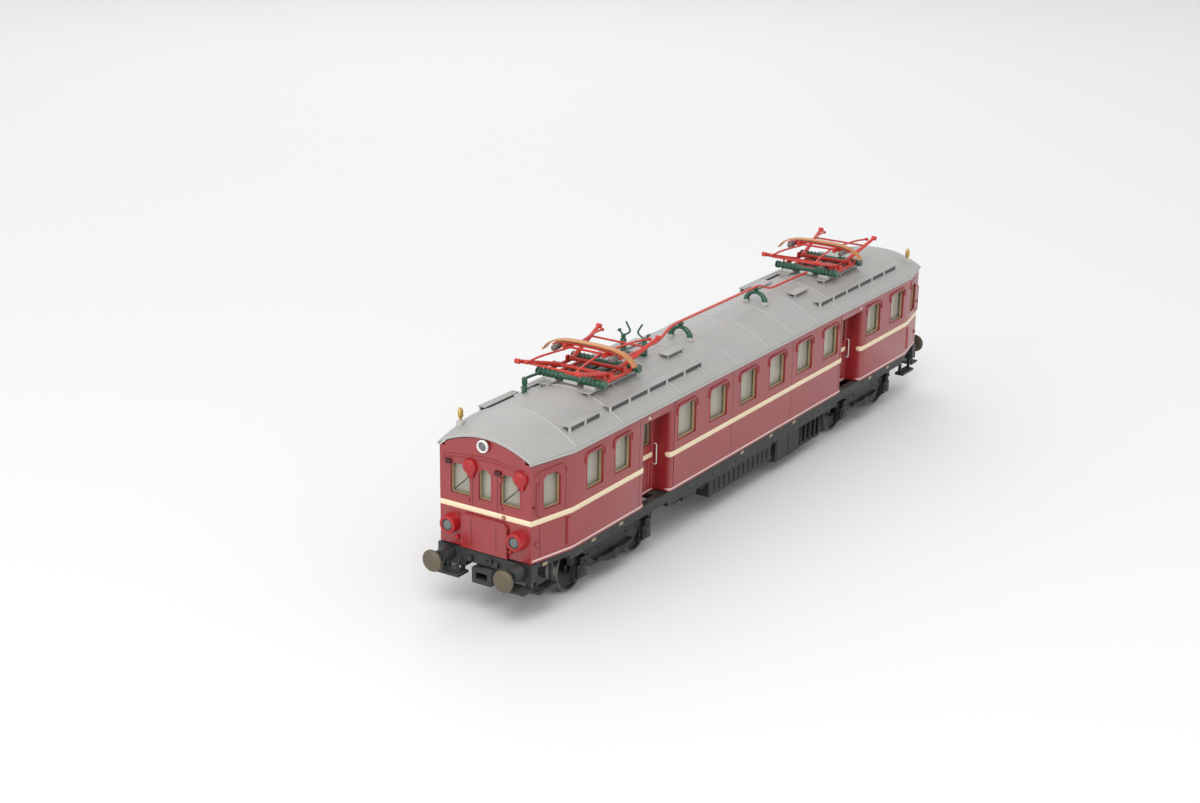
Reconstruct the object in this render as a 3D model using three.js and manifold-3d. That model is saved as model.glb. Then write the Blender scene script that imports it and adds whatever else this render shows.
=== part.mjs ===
// Model electric railcar, 1:87: a wine-red bogie railcar body with recessed entrances, a grey
// roof carrying two folding diamond pantographs, a shaft-driven front bogie and a trailing rear
// bogie.  X runs along the car (front cab at -X), Y across it, Z up from the wheel flanges.

import * as THREE from 'three';
import { mergeVertices } from 'three/addons/utils/BufferGeometryUtils.js';
import Module from 'manifold-3d';

const wasm = await Module();
wasm.setup();

// ---- driving dimensions, millimetres -------------------------------------------------------

const CAR_HALF_LENGTH = 110.5;      // to the buffer faces
const BODY_HALF_LENGTH = 103.0;
const TAPER_START = 90.2;           // where the sides start to draw in towards the cabs
const BODY_HALF_WIDTH = 15.5;
const CAB_HALF_WIDTH = 12.8;
const WALL = 1.2;
const BODY_BOTTOM = 15.2;
const BODY_TOP = 38.8;
const RECESS_FROM = 47.0;           // entrance recesses, along X
const RECESS_TO = 59.1;
const RECESS_WALL_Y = 11.3;
const RECESS_TOP = 36.8;

const ROOF_EDGE = 39.1;
const ROOF_CREST = 46.2;
const ROOF_CAB_CREST = 43.5;
const ROOF_HALF_WIDTH = 16.2;
const ROOF_CAB_HALF_WIDTH = 13.3;
const ROOF_HALF_LENGTH = 103.4;
const ROOF_CURVE = 0.0238;          // drop of the roof per square millimetre from the crest

const WINDOW_BOTTOM = 27.9;
const WINDOW_TOP = 36.6;

const FLANGE_RADIUS = 6.75;
const TREAD_RADIUS = 5.75;
const WHEEL_SIDES = 16;
const AXLE_Z = FLANGE_RADIUS * Math.cos(Math.PI / WHEEL_SIDES);
const BOGIE_X = 68.5;
const HALF_WHEELBASE = 14.35;
const DRIVE_Z = 22.3;               // motor, cardan shaft and worm

const BUFFER_Y = 10.05;
const BUFFER_Z = 13.0;
const COUPLER_Z = 9.5;
const COUPLER_PIVOT_X = 92.5;

const PANTOGRAPH_X = 60.5;
const BASE_PIVOT = { x: 3.05, z: 48.8 };    // x from the pantograph's middle
const ARM_END = { x: 17.55, y: 8.7, z: 53.1 };
const KNEE_PIVOT = { x: 16.4, z: 52.75 };
const HEAD_PIVOT = { x: 1.55, z: 53.2 };

// ---- materials -----------------------------------------------------------------------------

const material = (color, roughness, metalness = 0) => () =>
  new THREE.MeshStandardMaterial({ color, roughness, metalness });

const bodyRed = material(0x8e2a2c, 0.35);
const roofGrey = material(0xaeada8, 0.6);
const frameGrey = material(0x2e3032, 0.65);
const clearPlastic = material(0xb9b5a4, 0.15);
const seatBrown = material(0x8a6f4c, 0.7);
const whitePlastic = material(0xe8e6df, 0.4);
const brass = material(0xc9a860, 0.35, 0.9);
const insulatorGreen = material(0x24543c, 0.4);
const rodRed = material(0xc8382c, 0.4);
const stripCopper = material(0xd9955c, 0.4, 0.6);
const bufferMetal = material(0x6e6656, 0.5, 0.7);
const wheelMetal = material(0x4a4a4a, 0.45, 0.8);
const steel = material(0x9a9a98, 0.35, 0.9);
const castMetal = material(0x3a3b3c, 0.55, 0.3);

// ---- solids --------------------------------------------------------------------------------

// A closed three.js geometry as a solid that can be joined and cut.
function solid(geometry) {
  geometry.deleteAttribute('normal');
  geometry.deleteAttribute('uv');
  const merged = mergeVertices(geometry, 1e-4);
  const index = merged.index.array;
  const triangles = [];
  for (let i = 0; i < index.length; i += 3) {
    const [a, b, c] = [index[i], index[i + 1], index[i + 2]];
    if (a !== b && b !== c && c !== a) triangles.push(a, b, c);
  }
  return new wasm.Manifold(new wasm.Mesh({
    numProp: 3,
    vertProperties: new Float32Array(merged.attributes.position.array),
    triVerts: new Uint32Array(triangles),
  }));
}

const join = (...solids) => solids.reduce((whole, next) => whole.add(next));
const cut = (whole, ...tools) => tools.reduce((rest, tool) => rest.subtract(tool), whole);

// A rectangular block between two values on each axis, given in either order.
function block(x0, x1, y0, y1, z0, z1) {
  const geometry = new THREE.BoxGeometry(Math.abs(x1 - x0), Math.abs(y1 - y0), Math.abs(z1 - z0));
  geometry.translate((x0 + x1) / 2, (y0 + y1) / 2, (z0 + z1) / 2);
  return solid(geometry);
}

function extruded(points, depth, steps = 1) {
  const shape = new THREE.Shape(points.map(([a, b]) => new THREE.Vector2(a, b)));
  return new THREE.ExtrudeGeometry(shape, { depth, steps, bevelEnabled: false });
}

const X_AXIS = new THREE.Vector3(1, 0, 0);
const Y_AXIS = new THREE.Vector3(0, 1, 0);
const Z_AXIS = new THREE.Vector3(0, 0, 1);
const ALONG_X = new THREE.Matrix4().makeBasis(Y_AXIS, Z_AXIS, X_AXIS);

// An outline in XY, YZ or XZ pushed along the third axis, between two values given in any order.
function prismZ(points, z0, z1) {
  return solid(extruded(points, z1 - z0).translate(0, 0, z0));
}

function prismX(points, xa, xb) {
  const x0 = Math.min(xa, xb);
  return solid(extruded(points, Math.abs(xb - xa)).applyMatrix4(ALONG_X).translate(x0, 0, 0));
}

function prismY(points, ya, yb) {
  const y1 = Math.max(ya, yb);
  return solid(extruded(points, Math.abs(yb - ya)).rotateX(Math.PI / 2).translate(0, y1, 0));
}

// A profile of [radius, height] pairs turned about an axis through a point.
function turned(profile, axis, [x, y, z], sides = 16, phase = 0) {
  const points = profile.map(([radius, height]) => new THREE.Vector2(radius, height));
  const geometry = new THREE.LatheGeometry(points, sides);
  geometry.rotateY(phase);
  if (axis === 'x') geometry.rotateZ(-Math.PI / 2);
  if (axis === 'z') geometry.rotateX(Math.PI / 2);
  geometry.translate(x, y, z);
  return solid(geometry);
}

function rod(from, to, radius, sides = 5) {
  const start = new THREE.Vector3(...from);
  const span = new THREE.Vector3(...to).sub(start);
  const geometry = new THREE.CylinderGeometry(radius, radius, span.length(), sides);
  geometry.translate(0, span.length() / 2, 0);
  const turn = new THREE.Quaternion().setFromUnitVectors(Y_AXIS, span.clone().normalize());
  geometry.applyQuaternion(turn);
  geometry.translate(...from);
  return solid(geometry);
}

// A bent rod through several points; its lengths run a little past each other at the bends.
function bentRod(points, radius, sides = 5) {
  const pieces = [];
  for (let i = 1; i < points.length; i += 1) {
    const from = new THREE.Vector3(...points[i - 1]);
    const to = new THREE.Vector3(...points[i]);
    const past = to.clone().sub(from).setLength(radius * 0.6);
    if (i > 1) from.sub(past);
    if (i < points.length - 1) to.add(past);
    pieces.push(rod(from.toArray(), to.toArray(), radius, sides));
  }
  return join(...pieces);
}

const railcar = new THREE.Group();

function add(name, whole, makeMaterial) {
  const { vertProperties, triVerts } = whole.getMesh();
  const geometry = new THREE.BufferGeometry();
  geometry.setAttribute('position', new THREE.BufferAttribute(vertProperties, 3));
  geometry.setIndex(new THREE.BufferAttribute(triVerts, 1));
  geometry.computeVertexNormals();
  const mesh = new THREE.Mesh(geometry, makeMaterial());
  mesh.name = name;
  railcar.add(mesh);
}

const ends = [
  { name: 'front', x: -1 },
  { name: 'rear', x: 1 },
];
const sides = [
  { name: 'right', y: -1 },
  { name: 'left', y: 1 },
];

// ---- body shell ----------------------------------------------------------------------------

// Half width of the tapered cab sides at x, inset by t.
const TAPER_SLOPE = (BODY_HALF_WIDTH - CAB_HALF_WIDTH) / (BODY_HALF_LENGTH - TAPER_START);
const taperY = (x, t) => BODY_HALF_WIDTH - (x - TAPER_START) * TAPER_SLOPE - 1.022 * t;

// Plan outline of the body, inset by t, with or without the four entrance recesses.
function bodyOutline(t, recesses = true) {
  const y = BODY_HALF_WIDTH - t;
  const endX = BODY_HALF_LENGTH - t;
  const round = t === 0 ? 1.0 : 0;
  const recess = [
    [RECESS_FROM - t - round, y],
    [RECESS_FROM - t - round * 0.3, y - round * 0.3],
    [RECESS_FROM - t, y - round],
    [RECESS_FROM - t, RECESS_WALL_Y - t],
    [RECESS_TO + t, RECESS_WALL_Y - t],
    [RECESS_TO + t, y - round],
    [RECESS_TO + t + round * 0.3, y - round * 0.3],
    [RECESS_TO + t + round, y],
  ].filter((point, i) => round > 0 || ![0, 1, 6, 7].includes(i));
  const taper = [[TAPER_START - 0.104 * t, y], [endX, taperY(endX, t)]];
  const quarter = [...(recesses ? recess : []), ...taper];
  const place = (sx, sy) => quarter.map(([px, py]) => [sx * px, sy * py]);
  return [
    ...place(1, -1),
    ...place(1, 1).reverse(),
    ...place(-1, 1),
    ...place(-1, -1).reverse(),
  ];
}

const crestAt = (x) => {
  const t = Math.max(0, (Math.abs(x) - TAPER_START) / (BODY_HALF_LENGTH - TAPER_START));
  return ROOF_CREST - (ROOF_CREST - ROOF_CAB_CREST) * t ** 1.5;
};
const roofHalfWidth = (x) => {
  const t = Math.max(0, (Math.abs(x) - TAPER_START) / (BODY_HALF_LENGTH - TAPER_START));
  return ROOF_HALF_WIDTH - (ROOF_HALF_WIDTH - ROOF_CAB_HALF_WIDTH) * t;
};
const roofThickness = (x) => 1.0 - 0.6 * Math.max(0, (Math.abs(x) - TAPER_START) / 12.8) ** 0.7;
// Height of the roof's outer surface.
function roofZ(x, y) {
  const full = ROOF_CREST - ROOF_CURVE * (y * ROOF_HALF_WIDTH / roofHalfWidth(x)) ** 2;
  return ROOF_EDGE + (full - ROOF_EDGE) * (crestAt(x) - ROOF_EDGE) / (ROOF_CREST - ROOF_EDGE);
}

// A window opening in XZ or YZ with rounded upper corners.
function windowOutline(middle, halfWidth, bottom = WINDOW_BOTTOM, top = WINDOW_TOP, round = 1.1) {
  return [
    [middle - halfWidth, bottom],
    [middle + halfWidth, bottom],
    [middle + halfWidth, top - round],
    [middle + halfWidth - round, top],
    [middle - halfWidth + round, top],
    [middle - halfWidth, top - round],
  ];
}

const sideWindows = [
  [-80.9, 3.4], [-68.9, 3.4],
  [-39.25, 4.3], [-23.55, 4.3], [-7.85, 4.3], [7.85, 4.3], [23.55, 4.3], [39.25, 4.3],
  [66.6, 4.3], [82.5, 4.3],
];
const cabWindows = [[7.0, 2.75], [0, 1.75], [-7.0, 2.75]];
const LAMP = { y: 9.4, z: 20.4, x: 105.1 };
const HEADLIGHT_Z = 41.3;

function bodyShell() {
  let shell = join(
    prismZ(bodyOutline(0), BODY_BOTTOM, BODY_TOP),
    prismZ(bodyOutline(0, false), RECESS_TOP, BODY_TOP),
  );
  shell = shell.subtract(prismZ(bodyOutline(WALL), BODY_BOTTOM - 1, BODY_TOP + 1));
  for (const end of ends) {
    // The arched wall above each cab's windows, up to the underside of the roof.
    const arch = [];
    for (let i = 0; i <= 12; i += 1) {
      const y = 11.2 - i * 11.2 / 6;
      arch.push([y, roofZ(BODY_HALF_LENGTH, y) - 0.75]);
    }
    const wall = [[-11.2, 37.5], [11.2, 37.5], ...arch];
    const out = end.x * BODY_HALF_LENGTH;
    shell = shell.add(prismX(wall, out, out - end.x * WALL));
    // Doorway panel and lamp housings stand out from the end wall.
    const panel = [[-6.6, 15.2], [6.6, 15.2], [6.6, 22.6], [5.6, 23.8], [-5.6, 23.8], [-6.6, 22.6]];
    shell = shell.add(prismX(panel, out - end.x * 0.05, out + end.x * 0.65));
    for (const side of sides) {
      const lamp = (x) => [end.x * x, side.y * LAMP.y, LAMP.z];
      shell = shell.add(rod(lamp(102.4), lamp(LAMP.x), 2.1, 12));
      shell = shell.subtract(rod(lamp(100), lamp(106), 1.5, 8));
      // Wiper motor cover over each outer cab window.
      const cover = (x) => [end.x * x, side.y * 7.0 + end.x * 3.0, 35.5];
      shell = shell.add(rod(cover(102.5), cover(103.9), 1.7, 10));
      // Cab side window, cut square to the tapered side.
      const middle = (TAPER_START + BODY_HALF_LENGTH) / 2 * end.x;
      const opening = windowOutline(middle, 2.6, 27.6, 35.8);
      shell = shell.subtract(prismY(opening, side.y * 11.8, side.y * 17));
    }
    const headlight = (x) => [end.x * x, 0, HEADLIGHT_Z];
    shell = shell.subtract(rod(headlight(100), headlight(105), 1.05, 8));
    for (const [middle, halfWidth] of cabWindows) {
      const opening = windowOutline(middle, halfWidth, WINDOW_BOTTOM, 35.4, 1.2);
      shell = shell.subtract(prismX(opening, end.x * 101, end.x * 103.2));
    }
  }
  for (const side of sides) {
    for (const [middle, halfWidth] of sideWindows) {
      shell = shell.subtract(prismY(windowOutline(middle, halfWidth), side.y * 13, side.y * 17));
    }
    // Glazed upper half of each set-back entrance door.
    for (const middle of [-53.05, 53.05]) {
      shell = shell.subtract(prismY(windowOutline(middle, 3.4), side.y * 9, side.y * 12));
    }
  }
  return shell;
}

// The body comes in four mouldings, parted beside the entrances: two ends and two saloon sides.
const PARTING = 45.4;
const shell = bodyShell();
for (const end of ends) {
  const half = block(end.x * (PARTING + 0.15), end.x * 110, -20, 20, 10, 50);
  add(`body_${end.name}`, shell.intersect(half), bodyRed);
}
for (const side of sides) {
  const half = block(0.15 - PARTING, PARTING - 0.15, side.y * 12, side.y * 20, 10, 50);
  add(`saloon_side_${side.name}`, shell.intersect(half), bodyRed);
}

// ---- roof ----------------------------------------------------------------------------------

const ROOF_STATIONS = [-103.4, -101, -98, -94, -90.2, 90.2, 94, 98, 101, 103.4];

// The arched section pushed along X, then drawn in and down over the cabs.  Without its hollow
// it is the space taken up by the roof, which fittings above are trimmed to.
function roofShell(hollow = true) {
  const full = (y) => ROOF_CREST - ROOF_CURVE * y * y;
  const outer = [];
  const inner = [];
  for (let i = 0; i <= 12; i += 1) {
    const y = ROOF_HALF_WIDTH - i * ROOF_HALF_WIDTH / 6;
    outer.push([y, full(y)]);
  }
  for (let i = 0; i <= 8; i += 1) {
    const y = -14.2 + i * 14.2 / 4;
    inner.push([y, full(y) - 1.0]);
  }
  const below = hollow ? [[-14.2, ROOF_EDGE], ...inner, [14.2, ROOF_EDGE]] : [];
  const section = [...outer, [-ROOF_HALF_WIDTH, ROOF_EDGE], ...below, [ROOF_HALF_WIDTH, ROOF_EDGE]];
  const steps = ROOF_STATIONS.length - 1;
  const geometry = extruded(section, steps, steps).applyMatrix4(ALONG_X);
  const position = geometry.attributes.position;
  for (let i = 0; i < position.count; i += 1) {
    const x = ROOF_STATIONS[Math.round(position.getX(i))];
    const y = position.getY(i);
    const z = position.getZ(i);
    const depth = full(y) - z;
    const drawnY = y * roofHalfWidth(x) / ROOF_HALF_WIDTH;
    const onEdge = z < ROOF_EDGE + 1e-4;
    const drawnZ = onEdge ? ROOF_EDGE : roofZ(x, drawnY) - depth * roofThickness(x);
    position.setXYZ(i, x, drawnY, drawnZ);
  }
  return solid(geometry);
}

const roofSpace = roofShell(false).translate([0, 0, 0.3]);
const trimmedToRoof = (whole) => whole.subtract(roofSpace);

// A flat board held over the curved roof by short posts.
function roofBoard(x0, x1, y0, y1, z, posts) {
  let board = block(x0, x1, y0, y1, z, z + 0.4);
  const outerY = Math.abs(y0) > Math.abs(y1) ? y0 : y1;
  const inward = -Math.sign(outerY);
  const [postA, postB] = [outerY + inward * 0.2, outerY + inward * 0.7];
  for (let i = 0; i < posts; i += 1) {
    const x = x0 + 0.6 + (x1 - x0 - 1.2) * i / (posts - 1);
    board = board.add(block(x - 0.25, x + 0.25, postA, postB, roofZ(x, postB) - 0.3, z + 0.2));
  }
  return board;
}

function roof() {
  let whole = roofShell();
  for (const side of sides) {
    for (const end of ends) {
      const middle = end.x * PANTOGRAPH_X;
      whole = whole.add(roofBoard(middle - 11, middle + 11, side.y * 4.4, side.y * 7.4, 46.0, 3));
      whole = whole.add(block(middle - 11, middle - 10.2, side.y * 4.2, side.y * 5.2, 45.2, 46.3));
      whole = whole.add(block(middle + 10.2, middle + 11, side.y * 4.2, side.y * 5.2, 45.2, 46.3));
    }
    for (const x of [-31.5, 36.5]) {
      whole = whole.add(roofBoard(x - 4, x + 4, side.y * 4.4, side.y * 7.2, 46.0, 2));
      whole = whole.add(block(x - 0.5, x + 0.5, side.y * 4.4, side.y * 5.0, 45.3, 46.2));
    }
  }
  return whole;
}

add('roof', roof(), roofGrey);

// Walkway boards along the roof's shoulders: an edge board on a row of posts whose feet are
// joined by a thin sole strip that lies on the roof.
function walkway(side, spans) {
  const outer = side.y * 12.9;
  const inner = side.y * 10.9;
  let whole = null;
  for (const [x0, x1] of spans) {
    const count = Math.max(3, Math.round((x1 - x0) / 8) + 1);
    let board = block(x0, x1, inner, outer, 43.65, 44.05);
    for (let i = 0; i < count; i += 1) {
      const x = x0 + 0.5 + (x1 - x0 - 1) * i / (count - 1);
      board = board.add(block(x - 0.25, x + 0.25, outer, outer - side.y * 0.5, 42.0, 43.8));
    }
    whole = whole ? whole.add(board) : board;
  }
  const first = spans[0][0];
  const last = spans[spans.length - 1][1];
  if (spans.length > 1) {
    whole = whole.add(block(first + 0.25, last - 0.25, outer, outer - side.y * 0.5, 42.0, 43.05));
  }
  return trimmedToRoof(whole);
}

for (const side of sides) {
  add(`walkway_front_${side.name}`, walkway(side, [[-88.0, -74.2], [-71.0, -27.5]]), roofGrey);
  add(`walkway_rear_${side.name}`, walkway(side, [[36.5, 86.5]]), roofGrey);
}

// ---- cab end fittings ----------------------------------------------------------------------

for (const end of ends) {
  const face = end.x * BODY_HALF_LENGTH;
  const ring = [[1.05, 0], [1.5, 0], [1.5, 0.75], [1.05, 0.75], [1.05, 0]];
  const ringX = end.x < 0 ? face - 1.2 : face + 0.45;
  add(`headlight_ring_${end.name}`, turned(ring, 'x', [ringX, 0, HEADLIGHT_Z], 14), whitePlastic);

  // One clear moulding leads light to the three lamps of a cab end.
  const back = face - end.x * 3.5;
  const front = face - end.x * 2.7;
  const guide = join(
    block(back, front, -10.3, 10.3, 19.6, 21.2),
    block(back, front, 2.7, 4.3, 20, 42),
    block(back, front, -0.7, 4.3, 40.6, 42),
    rod([back, 0, HEADLIGHT_Z], [face + end.x * 0.8, 0, HEADLIGHT_Z], 0.74, 8),
    rod([back, LAMP.y, LAMP.z], [end.x * 104.8, LAMP.y, LAMP.z], 1.18, 8),
    rod([back, -LAMP.y, LAMP.z], [end.x * 104.8, -LAMP.y, LAMP.z], 1.18, 8),
  );
  add(`light_guide_${end.name}`, guide, clearPlastic);

  // Air whistle on a small plinth at the roof's shoulder; both stand on opposite corners.
  const whistleX = end.x * 96.8;
  const whistleY = -end.x * 11.4;
  const foot = roofZ(whistleX, whistleY);
  const whistle = join(
    block(whistleX - 0.8, whistleX + 0.8, whistleY - 0.8, whistleY + 0.8, foot - 1.0, foot + 1.4),
    turned([[0, 0], [0.35, 0], [0.35, 0.7], [0.65, 0.9], [0.65, 2.3], [0.4, 2.6], [0.4, 3.0],
      [0, 3.1]], 'z', [whistleX, whistleY, foot + 1.3], 7),
  );
  add(`whistle_${end.name}`, trimmedToRoof(whistle), brass);
}

// ---- glazing, seats and light board --------------------------------------------------------

// Clear insert behind the windows, following the inside of the walls; one for each half.
for (const end of ends) {
  const ring = cut(
    prismZ(bodyOutline(WALL + 0.3), 26.4, 38.0),
    prismZ(bodyOutline(WALL + 1.1), 26.0, 38.4),
  );
  const half = end.x < 0 ? block(-110, -0.2, -20, 20, 20, 40) : block(0.2, 110, -20, 20, 20, 40);
  const joiner = block(end.x * 0.2, end.x * 1.0, -13.6, 13.6, 37.2, 38.0);
  add(`glazing_${end.name}`, ring.intersect(half).add(joiner), clearPlastic);
}

function seatTub() {
  let tub = block(-44.4, 44.4, -12.9, 12.9, 15.3, 16.1);
  tub = tub.subtract(block(-18.4, 18.4, -7.2, 7.2, 15, 17));
  // Back-to-back benches stand between the windows.
  for (const x of [-31.4, -15.7, 0, 15.7, 31.4]) {
    const bench = [[x - 3.6, 16], [x + 3.6, 16], [x + 3.6, 19.6], [x + 0.6, 20.2], [x + 0.45, 27.0],
      [x - 0.45, 27.0], [x - 0.6, 20.2], [x - 3.6, 19.6]];
    for (const side of sides) tub = tub.add(prismY(bench, side.y * 7.6, side.y * 12.6));
  }
  return tub;
}

add('seat_tub', seatTub(), seatBrown);

// ---- underframe ----------------------------------------------------------------------------

function underframe() {
  const plate = [[-101.2, -12.4], [-90.2, -14.7], [90.2, -14.7], [101.2, -12.4],
    [101.2, 12.4], [90.2, 14.7], [-90.2, 14.7], [-101.2, 12.4]];
  let frame = prismZ(plate, 13.4, 14.9);
  for (const end of ends) {
    const middle = end.x * BOGIE_X;
    for (const way of [-1, 1]) {
      // Wells over the wheels on both sides of the bolster.
      frame = frame.subtract(block(middle + way * 3.2, middle + way * 18.6, -12.7, 12.7, 13, 15.3));
    }
    frame = frame.add(turned([[0, 0], [2.2, 0], [2.2, 2.2], [0, 2.2]], 'z', [middle, 0, 11.5], 10));
    // Headstock with its foot boards.
    const inside = end.x * 101.0;
    const outside = end.x * 103.5;
    let headstock = block(inside, outside, -13.2, 13.2, 10.6, 14.9);
    headstock = headstock.subtract(block(inside - end.x, outside + end.x, -5.2, 5.2, 10, 12.0));
    frame = frame.add(headstock);
    for (const side of sides) {
      const y = (value) => side.y * value;
      frame = frame.add(block(end.x * 102.4, end.x * 103.2, y(6.2), y(7.0), 8.4, 10.8));
      frame = frame.add(block(end.x * 102.4, end.x * 103.2, y(11.6), y(12.4), 8.4, 10.8));
      frame = frame.add(block(end.x * 102.0, end.x * 106.0, y(5.6), y(12.9), 8.4, 9.0));
      // Steps below the cab door.
      frame = frame.add(block(end.x * 100.9, end.x * 100.2, y(12.0), y(12.8), 7.4, 14.0));
      frame = frame.add(block(end.x * 94.8, end.x * 94.1, y(12.0), y(12.8), 7.4, 14.0));
      frame = frame.add(block(end.x * 101.3, end.x * 93.7, y(11.2), y(13.9), 7.2, 7.9));
      // Sole bar above the bogie, and the side bearer of the bolster.
      frame = frame.add(block(end.x * 46.0, end.x * 90.0, y(13.6), y(14.7), 12.2, 13.6));
    }
    // Pivot boss of the coupler arm.
    frame = frame.add(turned([[0, 0], [1.6, 0], [1.6, 3.2], [0, 3.2]], 'z',
      [end.x * COUPLER_PIVOT_X, 0, 10.6], 8));
  }
  for (const side of sides) {
    const y = (value) => side.y * value;
    frame = frame.add(block(-46.4, 46.4, y(13.6), y(14.7), 11.2, 13.6));
    for (const x of [-44, -31, 42.5]) {
      frame = frame.add(block(x - 0.5, x + 0.5, y(9.0), y(13.8), 10.2, 13.6));
    }
    frame = frame.add(block(-44.5, -24.5, y(8.8), y(9.8), 9.8, 11.2));
    frame = frame.add(block(-37.6, -30.9, y(9.5), y(13.9), 9.4, 12.4));
  }
  return frame;
}

add('underframe', underframe(), frameGrey);

for (const side of sides) {
  const y = (value) => side.y * value;
  let battery = block(-23.4, 10.8, y(7.6), y(13.3), 5.6, 13.1);
  for (let x = -22.6; x < 10; x += 2.6) {
    battery = battery.subtract(block(x + 1.7, x + 2.2, y(12.9), y(14), 6.4, 9.6));
  }
  add(`battery_box_${side.name}`, battery, frameGrey);

  // Switch cabinet with the cooling ladder bolted to its end.
  let cabinet = block(13.2, 27.2, y(7.6), y(13.1), 3.8, 13.1);
  cabinet = cabinet.add(block(27.0, 40.2, y(8.2), y(12.8), 11.6, 13.1));
  cabinet = cabinet.add(block(27.0, 40.2, y(8.2), y(12.8), 3.8, 4.8));
  for (const x of [29.6, 32.4, 35.2, 38.0]) {
    cabinet = cabinet.add(block(x - 0.9, x + 0.9, y(8.6), y(12.4), 4.5, 11.9));
  }
  cabinet = cabinet.add(block(39.4, 40.2, y(8.2), y(12.8), 4.5, 11.9));
  add(`switch_cabinet_${side.name}`, cabinet, frameGrey);
}

// ---- buffers and couplers ------------------------------------------------------------------

for (const end of ends) {
  for (const side of sides) {
    const profile = [[0, 0], [2.1, 0.05], [2.7, 0.35], [2.7, 0.8], [1.0, 1.2], [1.0, 3.2],
      [1.6, 3.3], [1.9, 6.7], [0, 6.7]];
    const facing = end.x < 0 ? profile : profile.map(([r, height]) => [r, -height]).reverse();
    const origin = [end.x * CAR_HALF_LENGTH, side.y * BUFFER_Y, BUFFER_Z];
    add(`buffer_${end.name}_${side.name}`, turned(facing, 'x', origin, 14), bufferMetal);
  }

  // Swinging arm with a standard rectangular coupler pocket.
  const x = (value) => end.x * value;
  let arm = block(x(92.5), x(100.6), -1.3, 1.3, 8.8, 10.1);
  const eye = [[0, 0], [2.0, 0], [2.0, 1.5], [0, 1.5]];
  arm = arm.add(turned(eye, 'z', [x(COUPLER_PIVOT_X), 0, 8.8], 10));
  arm = arm.add(block(x(99.8), x(104.6), -2.7, 2.7, 7.6, 11.4));
  arm = arm.subtract(block(x(101.0), x(105), -1.6, 1.6, 8.6, 10.4));
  add(`coupler_pocket_${end.name}`, arm, frameGrey);
}

// ---- drive ---------------------------------------------------------------------------------

const motor = cut(
  rod([-12, 0, DRIVE_Z], [12, 0, DRIVE_Z], 6.8, 14),
  rod([-11, 0, DRIVE_Z], [11, 0, DRIVE_Z], 5.8, 12),
  rod([-13, 0, DRIVE_Z], [13, 0, DRIVE_Z], 1.2, 8),
);
add('motor_frame', motor, steel);

// Rotor, both flywheels and the long cardan shaft to the front bogie turn as one.
const spindle = [[0, -58.6], [1.2, -58.6], [1.2, -56.4], [0.7, -56.2], [0.7, -17.8], [5.8, -17.8],
  [5.8, -13.2], [0.8, -13.2], [0.8, -8.5], [5.2, -8.5], [5.2, 8.5], [0.8, 8.5], [0.8, 13.2],
  [5.8, 13.2], [5.8, 17.8], [0, 17.8]];
add('motor_spindle', turned(spindle, 'x', [0, 0, DRIVE_Z], 10), brass);

const worm = [[0, -6.6], [0.6, -6.6], [0.6, -3.6], [1.6, -3.5], [1.6, 3.5], [0.6, 3.6], [0.6, 6.9],
  [1.2, 7.1], [1.2, 8.6], [0, 8.6]];
add('worm_shaft', turned(worm, 'x', [-BOGIE_X, 0, DRIVE_Z], 8), steel);

// ---- bogies --------------------------------------------------------------------------------

function bogieFrame(middle, hasTower) {
  const core = block(middle - 16.8, middle + 16.8, -5.6, 5.6, 4.4, 11.0);
  let frame = core;
  for (const way of [-1, 1]) {
    const axle = middle + way * HALF_WHEELBASE;
    frame = frame.subtract(block(axle - 1.5, axle + 1.5, -6, 6, 4, 8.3));
  }
  frame = frame.add(block(middle - 3.4, middle + 3.4, -12.0, 12.0, 8.4, 10.9));
  if (hasTower) {
    for (const way of [-1, 1]) {
      let post = block(middle + way * 4.5, middle + way * 6.3, -2.6, 2.6, 10.5, 23.2);
      post = post.subtract(block(middle + way * 4, middle + way * 7, -1.0, 1.0, 21.3, 24));
      frame = frame.add(post);
    }
  }
  for (const side of sides) {
    const y = (value) => side.y * value;
    const plate = [
      [-18, 9.0], [-17, 8.2], [-12, 8.2], [-9, 5.6], [9, 5.6], [12, 8.2], [17, 8.2], [18, 9.0],
      [18, 10.4], [5.5, 10.4], [4.5, 11.0], [-4.5, 11.0], [-5.5, 10.4], [-18, 10.4],
    ].map(([px, pz]) => [middle + px, pz]);
    frame = frame.add(prismY(plate, y(11.4), y(12.6)));
    for (const way of [-1, 1]) {
      const axle = middle + way * HALF_WHEELBASE;
      frame = frame.add(block(axle - 2.4, axle + 2.4, y(11.4), y(12.6), 4.2, 8.8));
      frame = frame.add(block(axle - 1.8, axle + 1.8, y(12.2), y(13.5), 5.0, 8.4));
      frame = frame.add(rod([axle, y(13.0), 8.2], [axle, y(13.0), 10.2], 0.9, 6));
      frame = frame.add(block(axle - 1.2, axle + 1.2, y(12.2), y(13.9), 10.0, 10.4));
    }
    // Leaf spring pack under the middle of the side frame.
    const pack = [[-8, 6.8], [-3, 5.2], [3, 5.2], [8, 6.8], [8, 7.4], [0, 6.9], [-8, 7.4]]
      .map(([px, pz]) => [middle + px, pz]);
    frame = frame.add(prismY(pack, y(12.3), y(13.6)));
  }
  return frame;
}

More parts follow.
